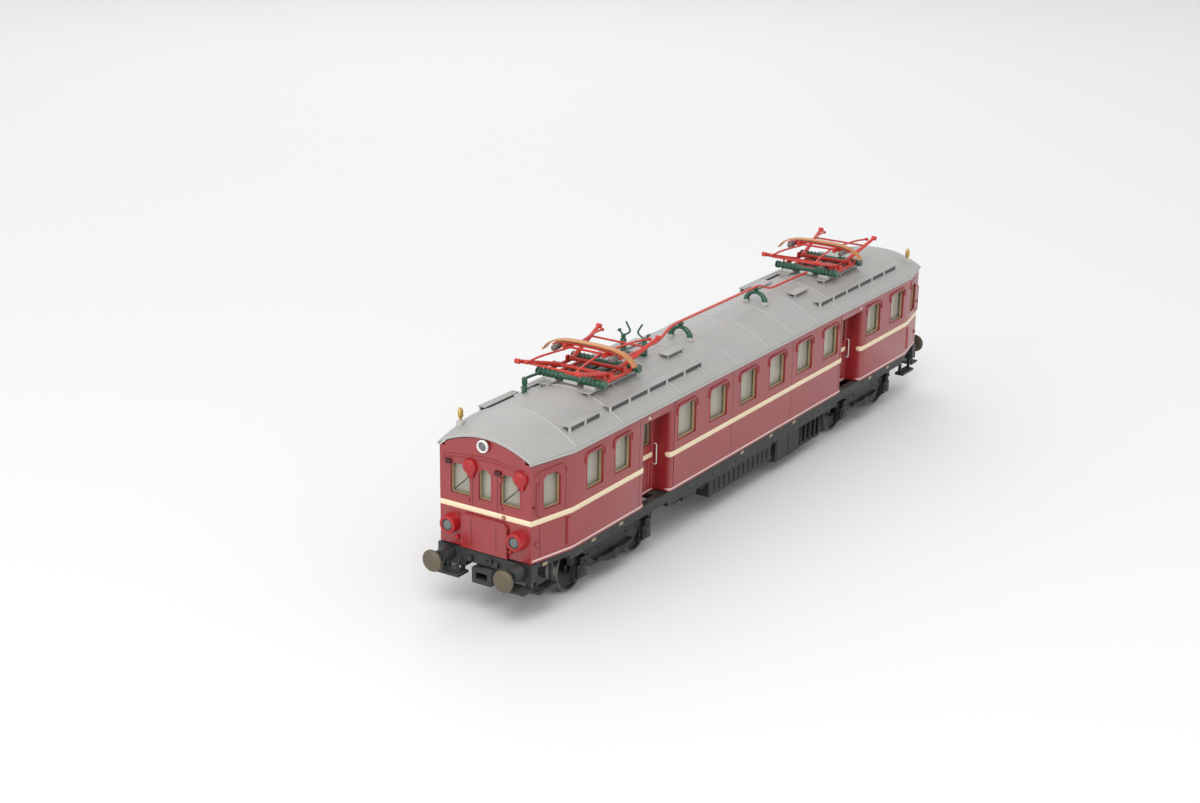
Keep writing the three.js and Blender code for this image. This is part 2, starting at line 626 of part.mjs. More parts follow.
for (const end of ends) {
  const middle = end.x * BOGIE_X;
  add(`bogie_frame_${end.name}`, bogieFrame(middle, end.name === 'front'), castMetal);
  const keeper = join(
    block(middle - 16.6, middle + 16.6, -5.3, 5.3, 3.2, 4.1),
    block(middle - 10, middle + 10, -3.4, 3.4, 2.7, 3.4),
  );
  add(`keeper_plate_${end.name}`, keeper, frameGrey);

  // Pinpoint axle with two flanged wheels.
  const half = [[0, 10.9], [1.5, 10.2], [TREAD_RADIUS, 10.1], [TREAD_RADIUS + 0.05, 8.2],
    [FLANGE_RADIUS, 7.8], [FLANGE_RADIUS, 7.2], [1.0, 7.2]];
  const profile = [...half.map(([r, h]) => [r, -h]), ...half.slice().reverse()];
  for (const way of [-1, 1]) {
    const place = way < 0 ? 'outer' : 'inner';
    const which = end.x < 0 ? place : (way < 0 ? 'inner' : 'outer');
    const axle = [middle + way * HALF_WHEELBASE, 0, AXLE_Z];
    add(`wheelset_${end.name}_${which}`,
      turned(profile, 'y', axle, WHEEL_SIDES, Math.PI / WHEEL_SIDES), wheelMetal);
  }
}

// ---- pantographs ---------------------------------------------------------------------------

// Ribbed porcelain insulator lying across the roof.
function ribbedBar(x, z, halfLength) {
  const ribs = 2;
  const half = [[0, halfLength]];
  const pitch = (halfLength - 3.2) / ribs;
  for (let i = 0; i < ribs; i += 1) {
    const at = halfLength - i * pitch;
    half.push([1.1, at], [1.1, at - pitch * 0.55]);
    half.push([0.75, at - pitch * 0.65], [0.75, at - pitch * 0.9]);
  }
  half.push([1.05, 2.6]);
  const profile = [...half.map(([r, h]) => [r, -h]), ...half.slice().reverse()];
  return turned(profile, 'y', [x, 0, z], 6);
}

function pantographBase(middle) {
  let base = null;
  for (const side of sides) {
    const y = (value) => side.y * value;
    const rail = block(middle - 6.2, middle + 6.2, y(7.9), y(8.6), 47.4, 48.2);
    base = base ? base.add(rail) : rail;
    for (const way of [-1, 1]) {
      const pivot = middle + way * BASE_PIVOT.x;
      const corner = middle + way * 5.9;
      base = base.add(block(pivot - 0.7, pivot + 0.7, y(8.0), y(8.6), 48.0, 49.4));
      base = base.add(block(corner - 0.3, corner + 0.3, y(8.2), y(8.6), 47.6, 49.4));
    }
  }
  for (const way of [-1, 1]) {
    base = base.add(block(middle + way * 5.2, middle + way * 6.2, -8.2, 8.2, 47.4, 48.0));
  }
  // Raising springs lie in the frame between its cross members.
  for (const y of [-3.4, 3.4]) {
    base = base.add(rod([middle - 5.6, y, 47.4], [middle + 5.6, y, 47.4], 0.5, 6));
  }
  return base;
}

for (const end of ends) {
  const middle = end.x * PANTOGRAPH_X;
  const label = end.name;

  let insulators = join(ribbedBar(middle - 7.6, 47.9, 9.9), ribbedBar(middle + 7.6, 47.9, 9.9));
  for (const y of [-1.6, 1.6]) {
    insulators = insulators.add(block(middle - 7.6, middle + 7.6, y - 0.35, y + 0.35, 46.5, 46.95));
  }
  for (const way of [-1, 1]) {
    insulators = insulators.add(block(middle + way * 7.0, middle + way * 8.2, -2.0, 2.0, 46.5, 47.6));
  }
  if (label === 'front') {
    // Stand-off arm that leads the feed cable down to the roof.
    const postX = middle - 15.0;
    insulators = insulators.add(bentRod([[middle - 7.6, 8.2, 47.9], [middle - 13.6, 8.2, 48.2],
      [postX, 8.4, 48.1]], 0.4));
    insulators = insulators.add(rod([postX, 8.4, 48.5], [postX, 8.4, roofZ(0, 8.4) - 0.5], 0.7, 6));
    insulators = trimmedToRoof(insulators);
  }
  add(`pantograph_insulators_${label}`, insulators, insulatorGreen);
  add(`pantograph_base_${label}`, pantographBase(middle), rodRed);

  for (const way of [-1, 1]) {
    const which = way === end.x ? 'outer' : 'inner';
    const at = (x, y, z) => [middle + way * x, y, z];
    const along = (t, y) => at(BASE_PIVOT.x + (ARM_END.x - BASE_PIVOT.x) * t, y,
      BASE_PIVOT.z + (ARM_END.z - BASE_PIVOT.z) * t);
    let lower = rod(along(0, -7.6), along(0, 7.6), 0.6, 6);
    for (const side of sides) {
      lower = lower.add(rod(along(0, side.y * 6.8), along(1, side.y * ARM_END.y), 0.65, 6));
    }
    const braceY = 6.8 + (ARM_END.y - 6.8) * 0.72;
    const [braceX, , braceZ] = along(0.72, 0);
    const brace = (y) => [braceX, y, braceZ - 0.35];
    lower = lower.add(rod(brace(-braceY), brace(braceY), 0.3, 4));
    add(`lower_arm_${label}_${which}`, lower, rodRed);

    const knee = (y) => at(KNEE_PIVOT.x, y, KNEE_PIVOT.z);
    const head = (y) => at(HEAD_PIVOT.x, y, HEAD_PIVOT.z);
    let upper = rod(head(-5.0), head(5.0), 0.32, 6);
    for (const side of sides) {
      const kink = at(KNEE_PIVOT.x - 4.5, side.y * 6.2, 53.25);
      upper = upper.add(rod(knee(side.y * 6.5), knee(side.y * 7.4), 0.45, 6));
      upper = upper.add(bentRod([knee(side.y * 6.9), kink, head(side.y * 4.4)], 0.3, 4));
    }
    add(`upper_arm_${label}_${which}`, upper, rodRed);
  }

  // Head: sprung carrier below, copper collector strip above.
  const arc = (z) => [[-13.3, z - 4.0], [-12.2, z - 2.2], [-10.2, z - 1.0], [-7.2, z - 0.25],
    [-3, z], [3, z], [7.2, z - 0.25], [10.2, z - 1.0], [12.2, z - 2.2], [13.3, z - 4.0]];
  const strip = [...arc(54.35).reverse(), ...arc(54.75)].reverse();
  add(`collector_strip_${label}`, prismX(strip, middle - 1.0, middle + 1.0), stripCopper);
  const carrierTop = arc(54.03).slice(2, -2);
  const carrierBottom = arc(53.72).slice(2, -2).reverse();
  let carrier = prismX([...carrierBottom, ...carrierTop].reverse(), middle - 0.9, middle + 0.9);
  for (const side of sides) {
    const y = (value) => side.y * value;
    const canister = (x) => [middle + x, y(8.2), 52.6];
    carrier = carrier.add(block(middle - 2.8, middle + 2.8, y(5.4), y(6.0), 52.4, 53.9));
    carrier = carrier.add(rod(canister(-3.4), canister(3.4), 0.65, 6));
    carrier = carrier.add(block(middle - 0.5, middle + 0.5, y(5.6), y(8.4), 52.5, 53.3));
  }
  add(`head_carrier_${label}`, carrier, rodRed);
}

// ---- roof electrical gear ------------------------------------------------------------------

// Horn-gap arrester: two ribbed posts on a cross bar, with diverging horns.
function arrester(x) {
  const post = [[0, 0], [0.9, 0], [0.9, 0.7], [0.6, 1.1], [0.9, 1.6], [0.6, 2.1], [0.9, 2.6],
    [0.6, 3.2], [0.6, 4.2], [0, 4.2]];
  let whole = block(x - 0.6, x + 0.6, -3.8, 3.8, 46.5, 47.2);
  for (const side of sides) {
    const at = (y, z) => [x, side.y * y, z];
    whole = whole.add(turned(post, 'z', at(3.1, 47.1), 7));
    whole = whole.add(bentRod([at(3.1, 50.9), at(0.9, 52.3), at(2.4, 54.7)], 0.25, 4));
    whole = whole.add(rod(at(3.1, 50.9), at(4.4, 52.3), 0.25, 4));
  }
  return whole;
}

add('lightning_arrester', arrester(-40.2), insulatorGreen);

// Arched twin insulators that carry the roof conductor.
function conductorSupport(x) {
  const y0 = -1.6;
  const outer = [[3.4, 46.5], [3.2, 47.8], [1.9, 49.3], [0, 49.8], [-1.9, 49.3], [-3.2, 47.8],
    [-3.4, 46.5]];
  const inner = [[-2.2, 46.5], [-2.1, 47.3], [-1.3, 48.1], [0, 48.4], [1.3, 48.1], [2.1, 47.3],
    [2.2, 46.5]];
  const arch = [...outer, ...inner].map(([y, z]) => [y0 + y, z]);
  return prismX(arch, x - 0.7, x + 0.7);
}

add('conductor_support_front', conductorSupport(-20.2), insulatorGreen);
add('conductor_support_rear', conductorSupport(19.8), insulatorGreen);

// Flat bar from one pantograph's frame to the other's, lifted over both supports.
const CONDUCTOR_Z = 50.6;
const conductorRun = [[-49.6, 47.9], [-31, 47.9], [-24.5, CONDUCTOR_Z], [21.5, CONDUCTOR_Z],
  [27.5, 48.2], [49.6, 47.9]];
const conductor = [
  ...conductorRun.map(([x, z]) => [x, z - 0.3]),
  ...conductorRun.slice().reverse().map(([x, z]) => [x, z + 0.3]),
];
add('roof_conductor', prismY(conductor, -1.9, -1.3), rodRed);

export default railcar;
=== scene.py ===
import bmesh
import bpy
import numpy as np
from mathutils import Matrix


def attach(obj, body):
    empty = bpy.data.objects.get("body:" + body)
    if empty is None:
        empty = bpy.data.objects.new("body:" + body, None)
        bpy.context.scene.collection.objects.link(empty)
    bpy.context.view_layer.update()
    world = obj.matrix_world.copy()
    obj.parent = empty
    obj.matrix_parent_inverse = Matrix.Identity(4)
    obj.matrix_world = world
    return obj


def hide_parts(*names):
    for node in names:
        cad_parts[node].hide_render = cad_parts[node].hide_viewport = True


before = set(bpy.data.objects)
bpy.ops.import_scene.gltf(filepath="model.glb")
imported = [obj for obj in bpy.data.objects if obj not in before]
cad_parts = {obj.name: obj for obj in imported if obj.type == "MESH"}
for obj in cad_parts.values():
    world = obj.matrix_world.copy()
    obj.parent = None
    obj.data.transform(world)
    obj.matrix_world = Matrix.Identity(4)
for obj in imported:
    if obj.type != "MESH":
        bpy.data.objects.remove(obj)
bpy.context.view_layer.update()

# ---- Studio ----
# The railcar stands on a plain pale table under a broad soft light from the front left, with
# a weaker one behind it; everything below is worked out in millimetres and stored in metres.
MM = 0.001
MIDDLE = np.array([0.0, 0.0, 25.0])

scene = bpy.context.scene
scene.view_settings.view_transform = "Standard"
scene.view_settings.look = "None"

CAMERA_AT = np.array([-441.79, -249.65, 197.75])
CAMERA_TURN, CAMERA_TILT, CAMERA_ROLL = np.radians([-57.137, 19.112, 0.822])
LENS, SENSOR = 59.63, 36.0

back = np.array([np.sin(CAMERA_TURN) * np.cos(CAMERA_TILT),
                 -np.cos(CAMERA_TURN) * np.cos(CAMERA_TILT), np.sin(CAMERA_TILT)])
level = np.array([np.cos(CAMERA_TURN), np.sin(CAMERA_TURN), 0.0])
above = np.cross(back, level)
across = level * np.cos(CAMERA_ROLL) + above * np.sin(CAMERA_ROLL)
upward = above * np.cos(CAMERA_ROLL) - level * np.sin(CAMERA_ROLL)
pose = np.eye(4)
pose[:3] = np.column_stack([across, upward, back, CAMERA_AT * MM])
camera_data = bpy.data.cameras.new("camera")
camera_data.lens, camera_data.sensor_width = LENS, SENSOR
camera_data.clip_start, camera_data.clip_end = 0.01, 20.0
camera = bpy.data.objects.new("camera", camera_data)
camera.matrix_world = Matrix(pose.tolist())
scene.collection.objects.link(camera)
scene.camera = camera

world = bpy.data.worlds.new("studio")
scene.world = world
world.use_nodes = True
world.node_tree.nodes["Background"].inputs["Color"].default_value = (0.97, 0.98, 1.0, 1)
world.node_tree.nodes["Background"].inputs["Strength"].default_value = 0.84


def soft_light(name, at, size, watts):
    """A square lamp at a point, facing the middle of the car."""
    data = bpy.data.lights.new(name, "AREA")
    data.size, data.energy = size, watts
    lamp = bpy.data.objects.new(name, data)
    away = np.array(at) - MIDDLE * MM
    away = away / np.linalg.norm(away)
    side = np.cross([0, 0, 1], away)
    side = side / np.linalg.norm(side)
    turn = np.eye(4)
    turn[:3] = np.column_stack([side, np.cross(away, side), away, at])
    lamp.matrix_world = Matrix(turn.tolist())
    scene.collection.objects.link(lamp)


soft_light("key", [-0.55, -0.30, 0.75], 0.5, 3.4)
soft_light("fill", [0.60, 0.55, 0.60], 0.6, 1.2)
soft_light("end_light", [-0.9, 0.2, 0.25], 0.5, 1.6)

floor_mesh = bpy.data.meshes.new("table")
floor_mesh.from_pydata([(-4, -4, 0), (4, -4, 0), (4, 4, 0), (-4, 4, 0)], [], [(0, 1, 2, 3)])
floor = bpy.data.objects.new("table", floor_mesh)
scene.collection.objects.link(floor)
table_paint = bpy.data.materials.new("table_paint")
table_paint.use_nodes = True
table_shader = table_paint.node_tree.nodes["Principled BSDF"]
table_shader.inputs["Base Color"].default_value = (0.82, 0.82, 0.81, 1)
table_shader.inputs["Roughness"].default_value = 0.85
floor_mesh.materials.append(table_paint)


# ---- Finishes ----
# Shared looks of moulded plastic, paint and turned metal: each finish mixes its colour, its
# gloss and a fine surface from the groups below, read at each piece's own place on the car.
def shader_group(name, numbers, outputs):
    """An empty node group with float inputs and their defaults, and named outputs."""
    group = bpy.data.node_groups.new(name, "ShaderNodeTree")
    for label, value in numbers.items():
        socket = group.interface.new_socket(label, in_out="INPUT", socket_type="NodeSocketFloat")
        socket.default_value = value
    for label in outputs:
        group.interface.new_socket(label, in_out="OUTPUT", socket_type="NodeSocketFloat")
    return group, group.nodes.new("NodeGroupInput"), group.nodes.new("NodeGroupOutput")


def wired(tree, kind, links=None, give=None, **settings):
    """A node with its settings and the sockets or values that feed its inputs, or the output
    of it that `give` names."""
    node = tree.nodes.new("ShaderNode" + kind)
    for key, value in settings.items():
        setattr(node, key, value)
    for key, source in (links or {}).items():
        if isinstance(source, bpy.types.NodeSocket):
            tree.links.new(source, node.inputs[key])
        else:
            node.inputs[key].default_value = source
    return node if give is None else node.outputs[give]


def noise(tree, scale, **more):
    """Noise read at the piece's own place on the car."""
    place = wired(tree, "TexCoord", give="Object")
    return wired(tree, "TexNoise", {"Vector": place, "Scale": scale, **more}, "Fac")


def ramped(tree, value, low, high, to_low=0.0, to_high=1.0):
    """A value spread from one range over another and held at its ends."""
    return wired(tree, "MapRange", {"Value": value, "From Min": low, "From Max": high,
                                    "To Min": to_low, "To Max": to_high}, "Result")


def product(tree, first, second):
    """Two values multiplied."""
    return wired(tree, "Math", {0: first, 1: second}, "Value", operation="MULTIPLY")


def mixed(tree, factor, first, second):
    """One colour going over to another."""
    return wired(tree, "Mix", {"Factor": factor, 6: first, 7: second}, 2, data_type="RGBA")


# Moulded skin: a slow drift of tone, a fine grain, and thin rubbed streaks along the car.
skin, given, result = shader_group(
    "moulded_skin", {"Drift Scale": 60, "Grain Scale": 2200, "Rub Scale": 300},
    ["Tone", "Grain", "Rub"])
drawn_out = wired(skin, "Mapping", {"Vector": wired(skin, "TexCoord", give="Object"),
                                    "Scale": (0.18, 1.0, 1.0)}, "Vector")
streaks = noise(skin, given.outputs["Rub Scale"], Vector=drawn_out, Detail=5.0, Roughness=0.7)
for label, value in (("Tone", noise(skin, given.outputs["Drift Scale"], Detail=3.0)),
                     ("Grain", noise(skin, given.outputs["Grain Scale"], Detail=2.0)),
                     ("Rub", ramped(skin, streaks, 0.58, 0.74))):
    skin.links.new(value, result.inputs[label])

# Handling dust: a pale film that gathers in patches on whatever faces up.
dust, given, result = shader_group("settled_dust", {"Patch Scale": 150}, ["Mask"])
facing_up = wired(dust, "SeparateXYZ", {"Vector": wired(dust, "NewGeometry", give="Normal")},
                  "Z")
patches = noise(dust, given.outputs["Patch Scale"], Detail=4.0)
dust.links.new(product(dust, ramped(dust, facing_up, 0.2, 0.95),
                       ramped(dust, patches, 0.42, 0.7)), result.inputs["Mask"])
DUST_COLOUR = (176, 170, 160)


def linear(r, g, b):
    """Display colour from 0 to 255 as linear light."""
    value = np.array([r, g, b], float) / 255
    light = np.where(value <= 0.04045, value / 12.92, ((value + 0.055) / 1.055) ** 2.4)
    return (*[float(v) for v in light], 1.0)


def finish(name, slot, colour, deep, rough, rub_colour=None, rub=0.35, dusty=0.0,
           grain_size=3600, depth=0.004, rough_spread=0.08, **plain):
    """A finish and the material slot it stands for.  Colour drifts to a deeper one, thin
    streaks go to the rub colour, dust pales the tops, and the fine grain moves roughness and
    bump together; `plain` holds constant shader values."""
    made = bpy.data.materials.new(name)
    made.use_nodes = True
    tree = made.node_tree
    shader = tree.nodes["Principled BSDF"]
    surface = wired(tree, "Group", {"Grain Scale": grain_size}, node_tree=skin).outputs
    colours = mixed(tree, product(tree, surface["Rub"], rub),
                    mixed(tree, surface["Tone"], linear(*colour), linear(*deep)),
                    linear(*(rub_colour or colour)))
    if dusty:
        film = wired(tree, "Group", give="Mask", node_tree=dust)
        colours = mixed(tree, product(tree, film, dusty), colours, linear(*DUST_COLOUR))
    gloss = ramped(tree, surface["Grain"], 0.3, 0.7, rough - rough_spread / 2,
                   rough + rough_spread / 2)
    relief = wired(tree, "Bump", {"Height": surface["Grain"], "Strength": 0.5,
                                  "Distance": depth * MM}, "Normal")
    for label, value in (("Base Color", colours), ("Roughness", gloss), ("Normal", relief)):
        tree.links.new(value, shader.inputs[label])
    for label, value in plain.items():
        shader.inputs[label.replace("_", " ")].default_value = value
    return made, slot


def dress(nodes, look):
    """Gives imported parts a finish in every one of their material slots."""
    for node in nodes:
        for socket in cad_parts[node].material_slots:
            socket.material = look[0]


# ---- Body mouldings ----
# Wine-red polystyrene mouldings: two ends with their cabs and two saloon sides, snapped
# together beside the entrances, with every arris softened as it comes from the tool.
HALF_WIDTH, CAB_HALF_WIDTH = 15.5, 12.8
TAPER_FROM, FACE = 90.2, 103.0     # where the cab narrows, and the end face
RECESS_FROM, RECESS_TO, RECESS_WALL = 47.0, 59.1, 11.3
ARRIS = 0.16                       # width of the softened edges
WELD = 2e-6                        # corners closer than this, in metres, become one
FLAT, EDGE, SHARP = np.radians([0.6, 28, 34])      # turns that count as flat, edge or sharp

wine_red = finish("wine_red_gloss", "wine_red_plastic", (150, 30, 34), (134, 20, 24), 0.34,
                  (158, 44, 46), 0.25, grain_size=5200, depth=0.0012, rough_spread=0.05,
                  IOR=1.68, Coat_Weight=0.3, Coat_Roughness=0.2)


def fresh_mesh(name, look, body, replaced):
    """Empty piece with its finish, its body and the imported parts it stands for."""
    made, slot = look
    mesh = bpy.data.meshes.new(name)
    mesh.materials.append(made)
    obj = bpy.data.objects.new(name, mesh)
    scene.collection.objects.link(obj)
    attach(obj, body)
    if replaced:
        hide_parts(*replaced)
    return obj


body_nodes = ["body_front", "body_rear", "saloon_side_right", "saloon_side_left"]
corners, facets, first = [], [], 0
for node in body_nodes:
    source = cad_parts[node].data
    co = np.empty(len(source.vertices) * 3, np.float32)
    source.vertices.foreach_get("co", co)
    loops = np.empty(len(source.loops), np.int32)
    source.loops.foreach_get("vertex_index", loops)
    corners.append(co.reshape(-1, 3))
    facets.append(loops.reshape(-1, 3) + first)
    first += len(source.vertices)
body = fresh_mesh("body_mouldings", wine_red, "railcar", body_nodes)
body.data.from_pydata(np.concatenate(corners).tolist(), [], np.concatenate(facets).tolist())
shell = bmesh.new()
shell.from_mesh(body.data)
bmesh.ops.remove_doubles(shell, verts=shell.verts, dist=WELD)
bmesh.ops.dissolve_limit(shell, angle_limit=FLAT, verts=shell.verts, edges=shell.edges)
shell.to_mesh(body.data)
shell.free()
softened = body.modifiers.new("arris", "BEVEL")
softened.width, softened.segments = ARRIS * MM, 2
softened.limit_method, softened.angle_limit = "ANGLE", EDGE
softened.harden_normals = False
softened.use_clamp_overlap = True
body.data.shade_smooth()
body.data.set_sharp_from_angle(angle=SHARP)


# ---- Cream waist stripe and sill line ----
# A printed cream band under the windows runs round each end and along the saloon, its ends
# rounded just inside the entrances; a thin pale line is printed along the bottom edge.
STRIPE_Z, STRIPE_HALF = 25.05, 0.65
SILL_Z, SILL_HALF = 15.85, 0.22
PRINT = 0.05                       # how far the printing stands on the moulding
PRINT_END = 13.9                   # the printing stops here, inside the entrances
CREASE = np.radians(38)            # turns that stay sharp on the added pieces
UP, RIGHT, REAR = [0, 0, 1], [0, -1, 0], [1, 0, 0]


def skinned(rings, loop=False):
    """Closed skin over an array of rings (rings, points, 3), capped at both ends unless it
    loops: quads join neighbours, and all faces are turned round where the enclosed volume
    comes out negative."""
    n, m, _ = rings.shape
    points = rings.reshape(-1, 3)
    i, j = np.arange(n if loop else n - 1)[:, None], np.arange(m)[None, :]
    i2, j2 = (i + 1) % n, (j + 1) % m
    quads = np.stack([i * m + j, i * m + j2, i2 * m + j2, i2 * m + j], -1).reshape(-1, 4)
    faces, fans = [quads], [quads[:, [0, 1, 2]], quads[:, [0, 2, 3]]]
    if not loop:
        for cap in (np.arange(m)[::-1], np.arange((n - 1) * m, n * m)):
            faces.append(cap[None])
            fans.append(np.stack([np.full(m - 2, cap[0]), cap[1:-1], cap[2:]], -1))
    a, b, c = np.moveaxis(points[np.concatenate(fans)] - points.mean(0), 1, 0)
    if np.einsum("ij,ij->", a, np.cross(b, c)) < 0:
        faces = [group[:, ::-1] for group in faces]
    return points, faces


def carried(path, section, up, loop=False, swell=None):
    """A section (side, up) carried along a path: at each point side is the travel direction
    crossed with up, and up is squared to both; swell scales the section point by point."""
    path, section = np.asarray(path, float), np.asarray(section, float)
    if loop:
        travel = np.roll(path, -1, 0) - np.roll(path, 1, 0)
    else:
        travel = np.gradient(path, axis=0)
    travel /= np.linalg.norm(travel, axis=1, keepdims=True)
    side = np.cross(travel, np.broadcast_to(np.asarray(up, float), travel.shape))
    side /= np.linalg.norm(side, axis=1, keepdims=True)
    raised = np.cross(side, travel)
    size = np.ones((len(path), 2)) if swell is None else swell
    rings = (path[:, None] + (section[:, 0] * size[:, :1])[..., None] * side[:, None]
             + (section[:, 1] * size[:, 1:])[..., None] * raised[:, None])
    return skinned(rings, loop)


def eased(points, radius, steps=5):
    """A path with its corners rounded: each inner corner becomes a quadratic curve between the
    points at `radius` before and after it."""
    points = np.asarray(points, float)
    before, corner, after = points[:-2], points[1:-1], points[2:]
    radius = np.broadcast_to(np.asarray(radius, float), (len(corner),))[:, None]

    def towards(target):
        gap = target - corner
        length = np.linalg.norm(gap, axis=1, keepdims=True)
        return corner + gap / length * np.minimum(radius, 0.49 * length)

    a, b = towards(before)[:, None], towards(after)[:, None]
    t = np.linspace(0, 1, steps)[None, :, None]
    arc = (1 - t) ** 2 * a + 2 * t * (1 - t) * corner[:, None] + t ** 2 * b
    return np.concatenate([points[:1], arc.reshape(-1, 3), points[-1:]])


def between(path, spacing):
    """The same path with points no further apart than `spacing`, spread along its length."""
    path = np.asarray(path, float)
    run = np.r_[0, np.cumsum(np.linalg.norm(np.diff(path, axis=0), axis=1))]
    extra = np.linspace(0, run[-1], max(2, int(run[-1] / spacing) + 1))
    at = np.unique(np.round(np.r_[run, extra], 6))
    return np.stack([np.interp(at, run, path[:, k]) for k in range(3)], -1)


def mirrored(shape, x=1, y=1):
    """The same shape on the other side or end of the car, with its faces kept outwards."""
    points, faces = shape
    return points * [x, y, 1], [group[:, ::-1] for group in faces] if x * y < 0 else faces


def both_sides(shapes):
    """The same fittings on the right and then on the left."""
    return shapes + [mirrored(shape, 1, -1) for shape in shapes]


def four_ways(shapes):
    """The same fittings on both sides of both ends."""
    return [mirrored(shape, x, y) for shape in shapes for x in (1, -1) for y in (1, -1)]


def piece(name, shapes, look, replaced=(), body="railcar"):
    """One named piece from several closed shapes, in metres, riding on its body."""
    obj = fresh_mesh(name, look, body, replaced)
    points, faces, first = [], [], 0
    for corners, groups in shapes:
        points.append(corners * MM)
        faces += [face for group in groups for face in (group + first).tolist()]
        first += len(corners)
    obj.data.from_pydata(np.concatenate(points).tolist(), [], faces)
    obj.data.shade_smooth()
    obj.data.set_sharp_from_angle(angle=CREASE)
    obj.data.update()
    return obj


ENDS = {"front": -1, "rear": 1}
SIDES = {"right": -1, "left": 1}
ROUND_CORNER = 1.0                 # radius of the body at the entrances
end_run = [[RECESS_TO, -PRINT_END], [RECESS_TO, -HALF_WIDTH], [TAPER_FROM, -HALF_WIDTH],
           [FACE, -CAB_HALF_WIDTH], [FACE, CAB_HALF_WIDTH], [TAPER_FROM, HALF_WIDTH],
           [RECESS_TO, HALF_WIDTH], [RECESS_TO, PRINT_END]]
saloon_run = [[-RECESS_FROM, -PRINT_END], [-RECESS_FROM, -HALF_WIDTH], [RECESS_FROM, -HALF_WIDTH],
              [RECESS_FROM, -PRINT_END]]
door_run = [[48.4, -RECESS_WALL], [53, -RECESS_WALL], [57.7, -RECESS_WALL]]
end_rounds = [ROUND_CORNER, 0.3, 0.22, 0.22, 0.3, ROUND_CORNER]


def printed_line(run, rounds, z, half):
    """A flat band on the body's outline at one height, with its two ends rounded off."""
    path = np.column_stack([np.array(run, float), np.full(len(run), z)])
    path = between(eased(path, rounds, 7), 0.18 if half > 0.5 else 1.0)
    run_in = np.r_[0, np.cumsum(np.linalg.norm(np.diff(path, axis=0), axis=1))]
    left = np.minimum(run_in, run_in[-1] - run_in) / half
    tip = np.sqrt(np.clip(1 - (1 - np.clip(left, 0, 1)) ** 2, 0.02, 1))
    section = [[-0.25, -half], [PRINT - 0.02, -half], [PRINT, -half + 0.03],
               [PRINT, half - 0.03], [PRINT - 0.02, half], [-0.25, half]]
    return carried(path, section, UP, swell=np.column_stack([np.ones(len(path)), tip]))


def around_the_car(z, half, over_the_end=True):
    """The band on both ends and both saloon sides, and on the four set-back doors; without the
    end faces it stops at the cab corners."""
    quarters = [(x, y) for x in (-1, 1) for y in (-1, 1)]
    if over_the_end:
        cab = printed_line(end_run, end_rounds, z, half)
        bands = [cab, mirrored(cab, -1)]
    else:
        cab = printed_line(end_run[:4], end_rounds[:2], z, half)
        bands = [mirrored(cab, x, y) for x, y in quarters]
    door = printed_line(door_run, [0.5], z, half)
    return (bands + both_sides([printed_line(saloon_run, [ROUND_CORNER] * 2, z, half)])
            + [mirrored(door, x, y) for x, y in quarters])


cream = finish("cream_print", "wine_red_plastic", (238, 221, 187), (229, 209, 172), 0.42,
               (212, 190, 156), 0.5, depth=0.0015)
piece("cream_stripe", around_the_car(STRIPE_Z, STRIPE_HALF), cream)
pale_line = finish("pale_sill_print", "wine_red_plastic", (226, 200, 192), (214, 182, 175),
                   0.45, (190, 120, 115), 0.5, depth=0.0012)
piece("sill_line", around_the_car(SILL_Z, SILL_HALF, False), pale_line)


# ---- Window mouldings ----
# A slim raised frame runs round each side window, and a bolder rain moulding caps it and
# turns down at both ends; both are part of the red moulding.
WINDOW_LOW, WINDOW_HIGH = 27.9, 36.6
side_windows = [(-80.9, 3.4), (-68.9, 3.4), (-39.25, 4.3), (-23.55, 4.3), (-7.85, 4.3),
                (7.85, 4.3), (23.55, 4.3), (39.25, 4.3), (66.6, 4.3), (82.5, 4.3)]
half_round = np.stack([np.sin(np.linspace(-1.9, 1.9, 7)), np.cos(np.linspace(-1.9, 1.9, 7))], -1)


def on_side(points, wall=HALF_WIDTH):
    """Points [x, z] laid on a wall of the right side."""
    x, z = np.asarray(points, float).T
    return np.stack([x, np.full_like(x, -wall), z], -1)


def opening(start, a, b, low, high):
    """Corners of an opening, walked from a point on its sill right round and back to it."""
    return [[start, low], [a, low], [a, high], [b, high], [b, low], [start + 0.01, low]]


def looped(corners, rounds, section, up, steps=6):
    """A section carried all the way round an opening whose corners are eased."""
    return carried(eased(corners, rounds, steps)[:-1], section, up, loop=True)


def rain_moulding(middle, half, top=WINDOW_HIGH, drop=1.9):
    """A half-round bead over a window, rounded at the corners and turned down by `drop`."""
    a, b = middle - half - 0.55, middle + half + 0.55
    return carried(eased(on_side([[a, top - drop], [a, top + 0.5], [b, top + 0.5],
                                  [b, top - drop]]), 1.6, 7), half_round * [0.3, 0.42], RIGHT)


def window_frame(middle, half, wall=HALF_WIDTH):
    """A low bead round a window opening: square at the sill, rounded at the top."""
    around = opening(middle, middle - half - 0.14, middle + half + 0.14, WINDOW_LOW - 0.14,
                     WINDOW_HIGH + 0.14)
    return looped(on_side(around, wall), [0.25, 1.2, 1.2, 0.25], half_round * [0.2, 0.1], RIGHT)


beads = [rain_moulding(m, h) for m, h in side_windows]
beads += [window_frame(m, h) for m, h in side_windows]
beads += [window_frame(m, 3.4, RECESS_WALL) for m in (-53.05, 53.05)]
piece("window_mouldings", both_sides(beads), wine_red)


# ---- Entrances ----
# The four set-back doors are moulded with the ends: a leaf with a raised edge, ribbed below
# the waist, a white pressed-on handrail beside it and a small bright handle.
white_plastic = finish("white_plastic", "white_plastic", (236, 235, 230), (222, 220, 214), 0.4,
                       (200, 198, 192), 0.4, depth=0.0015)
chrome = finish("bright_plated", "steel", (214, 214, 216), (186, 187, 190), 0.24,
                (150, 150, 152), 0.6, depth=0.0012, Metallic=0.9)


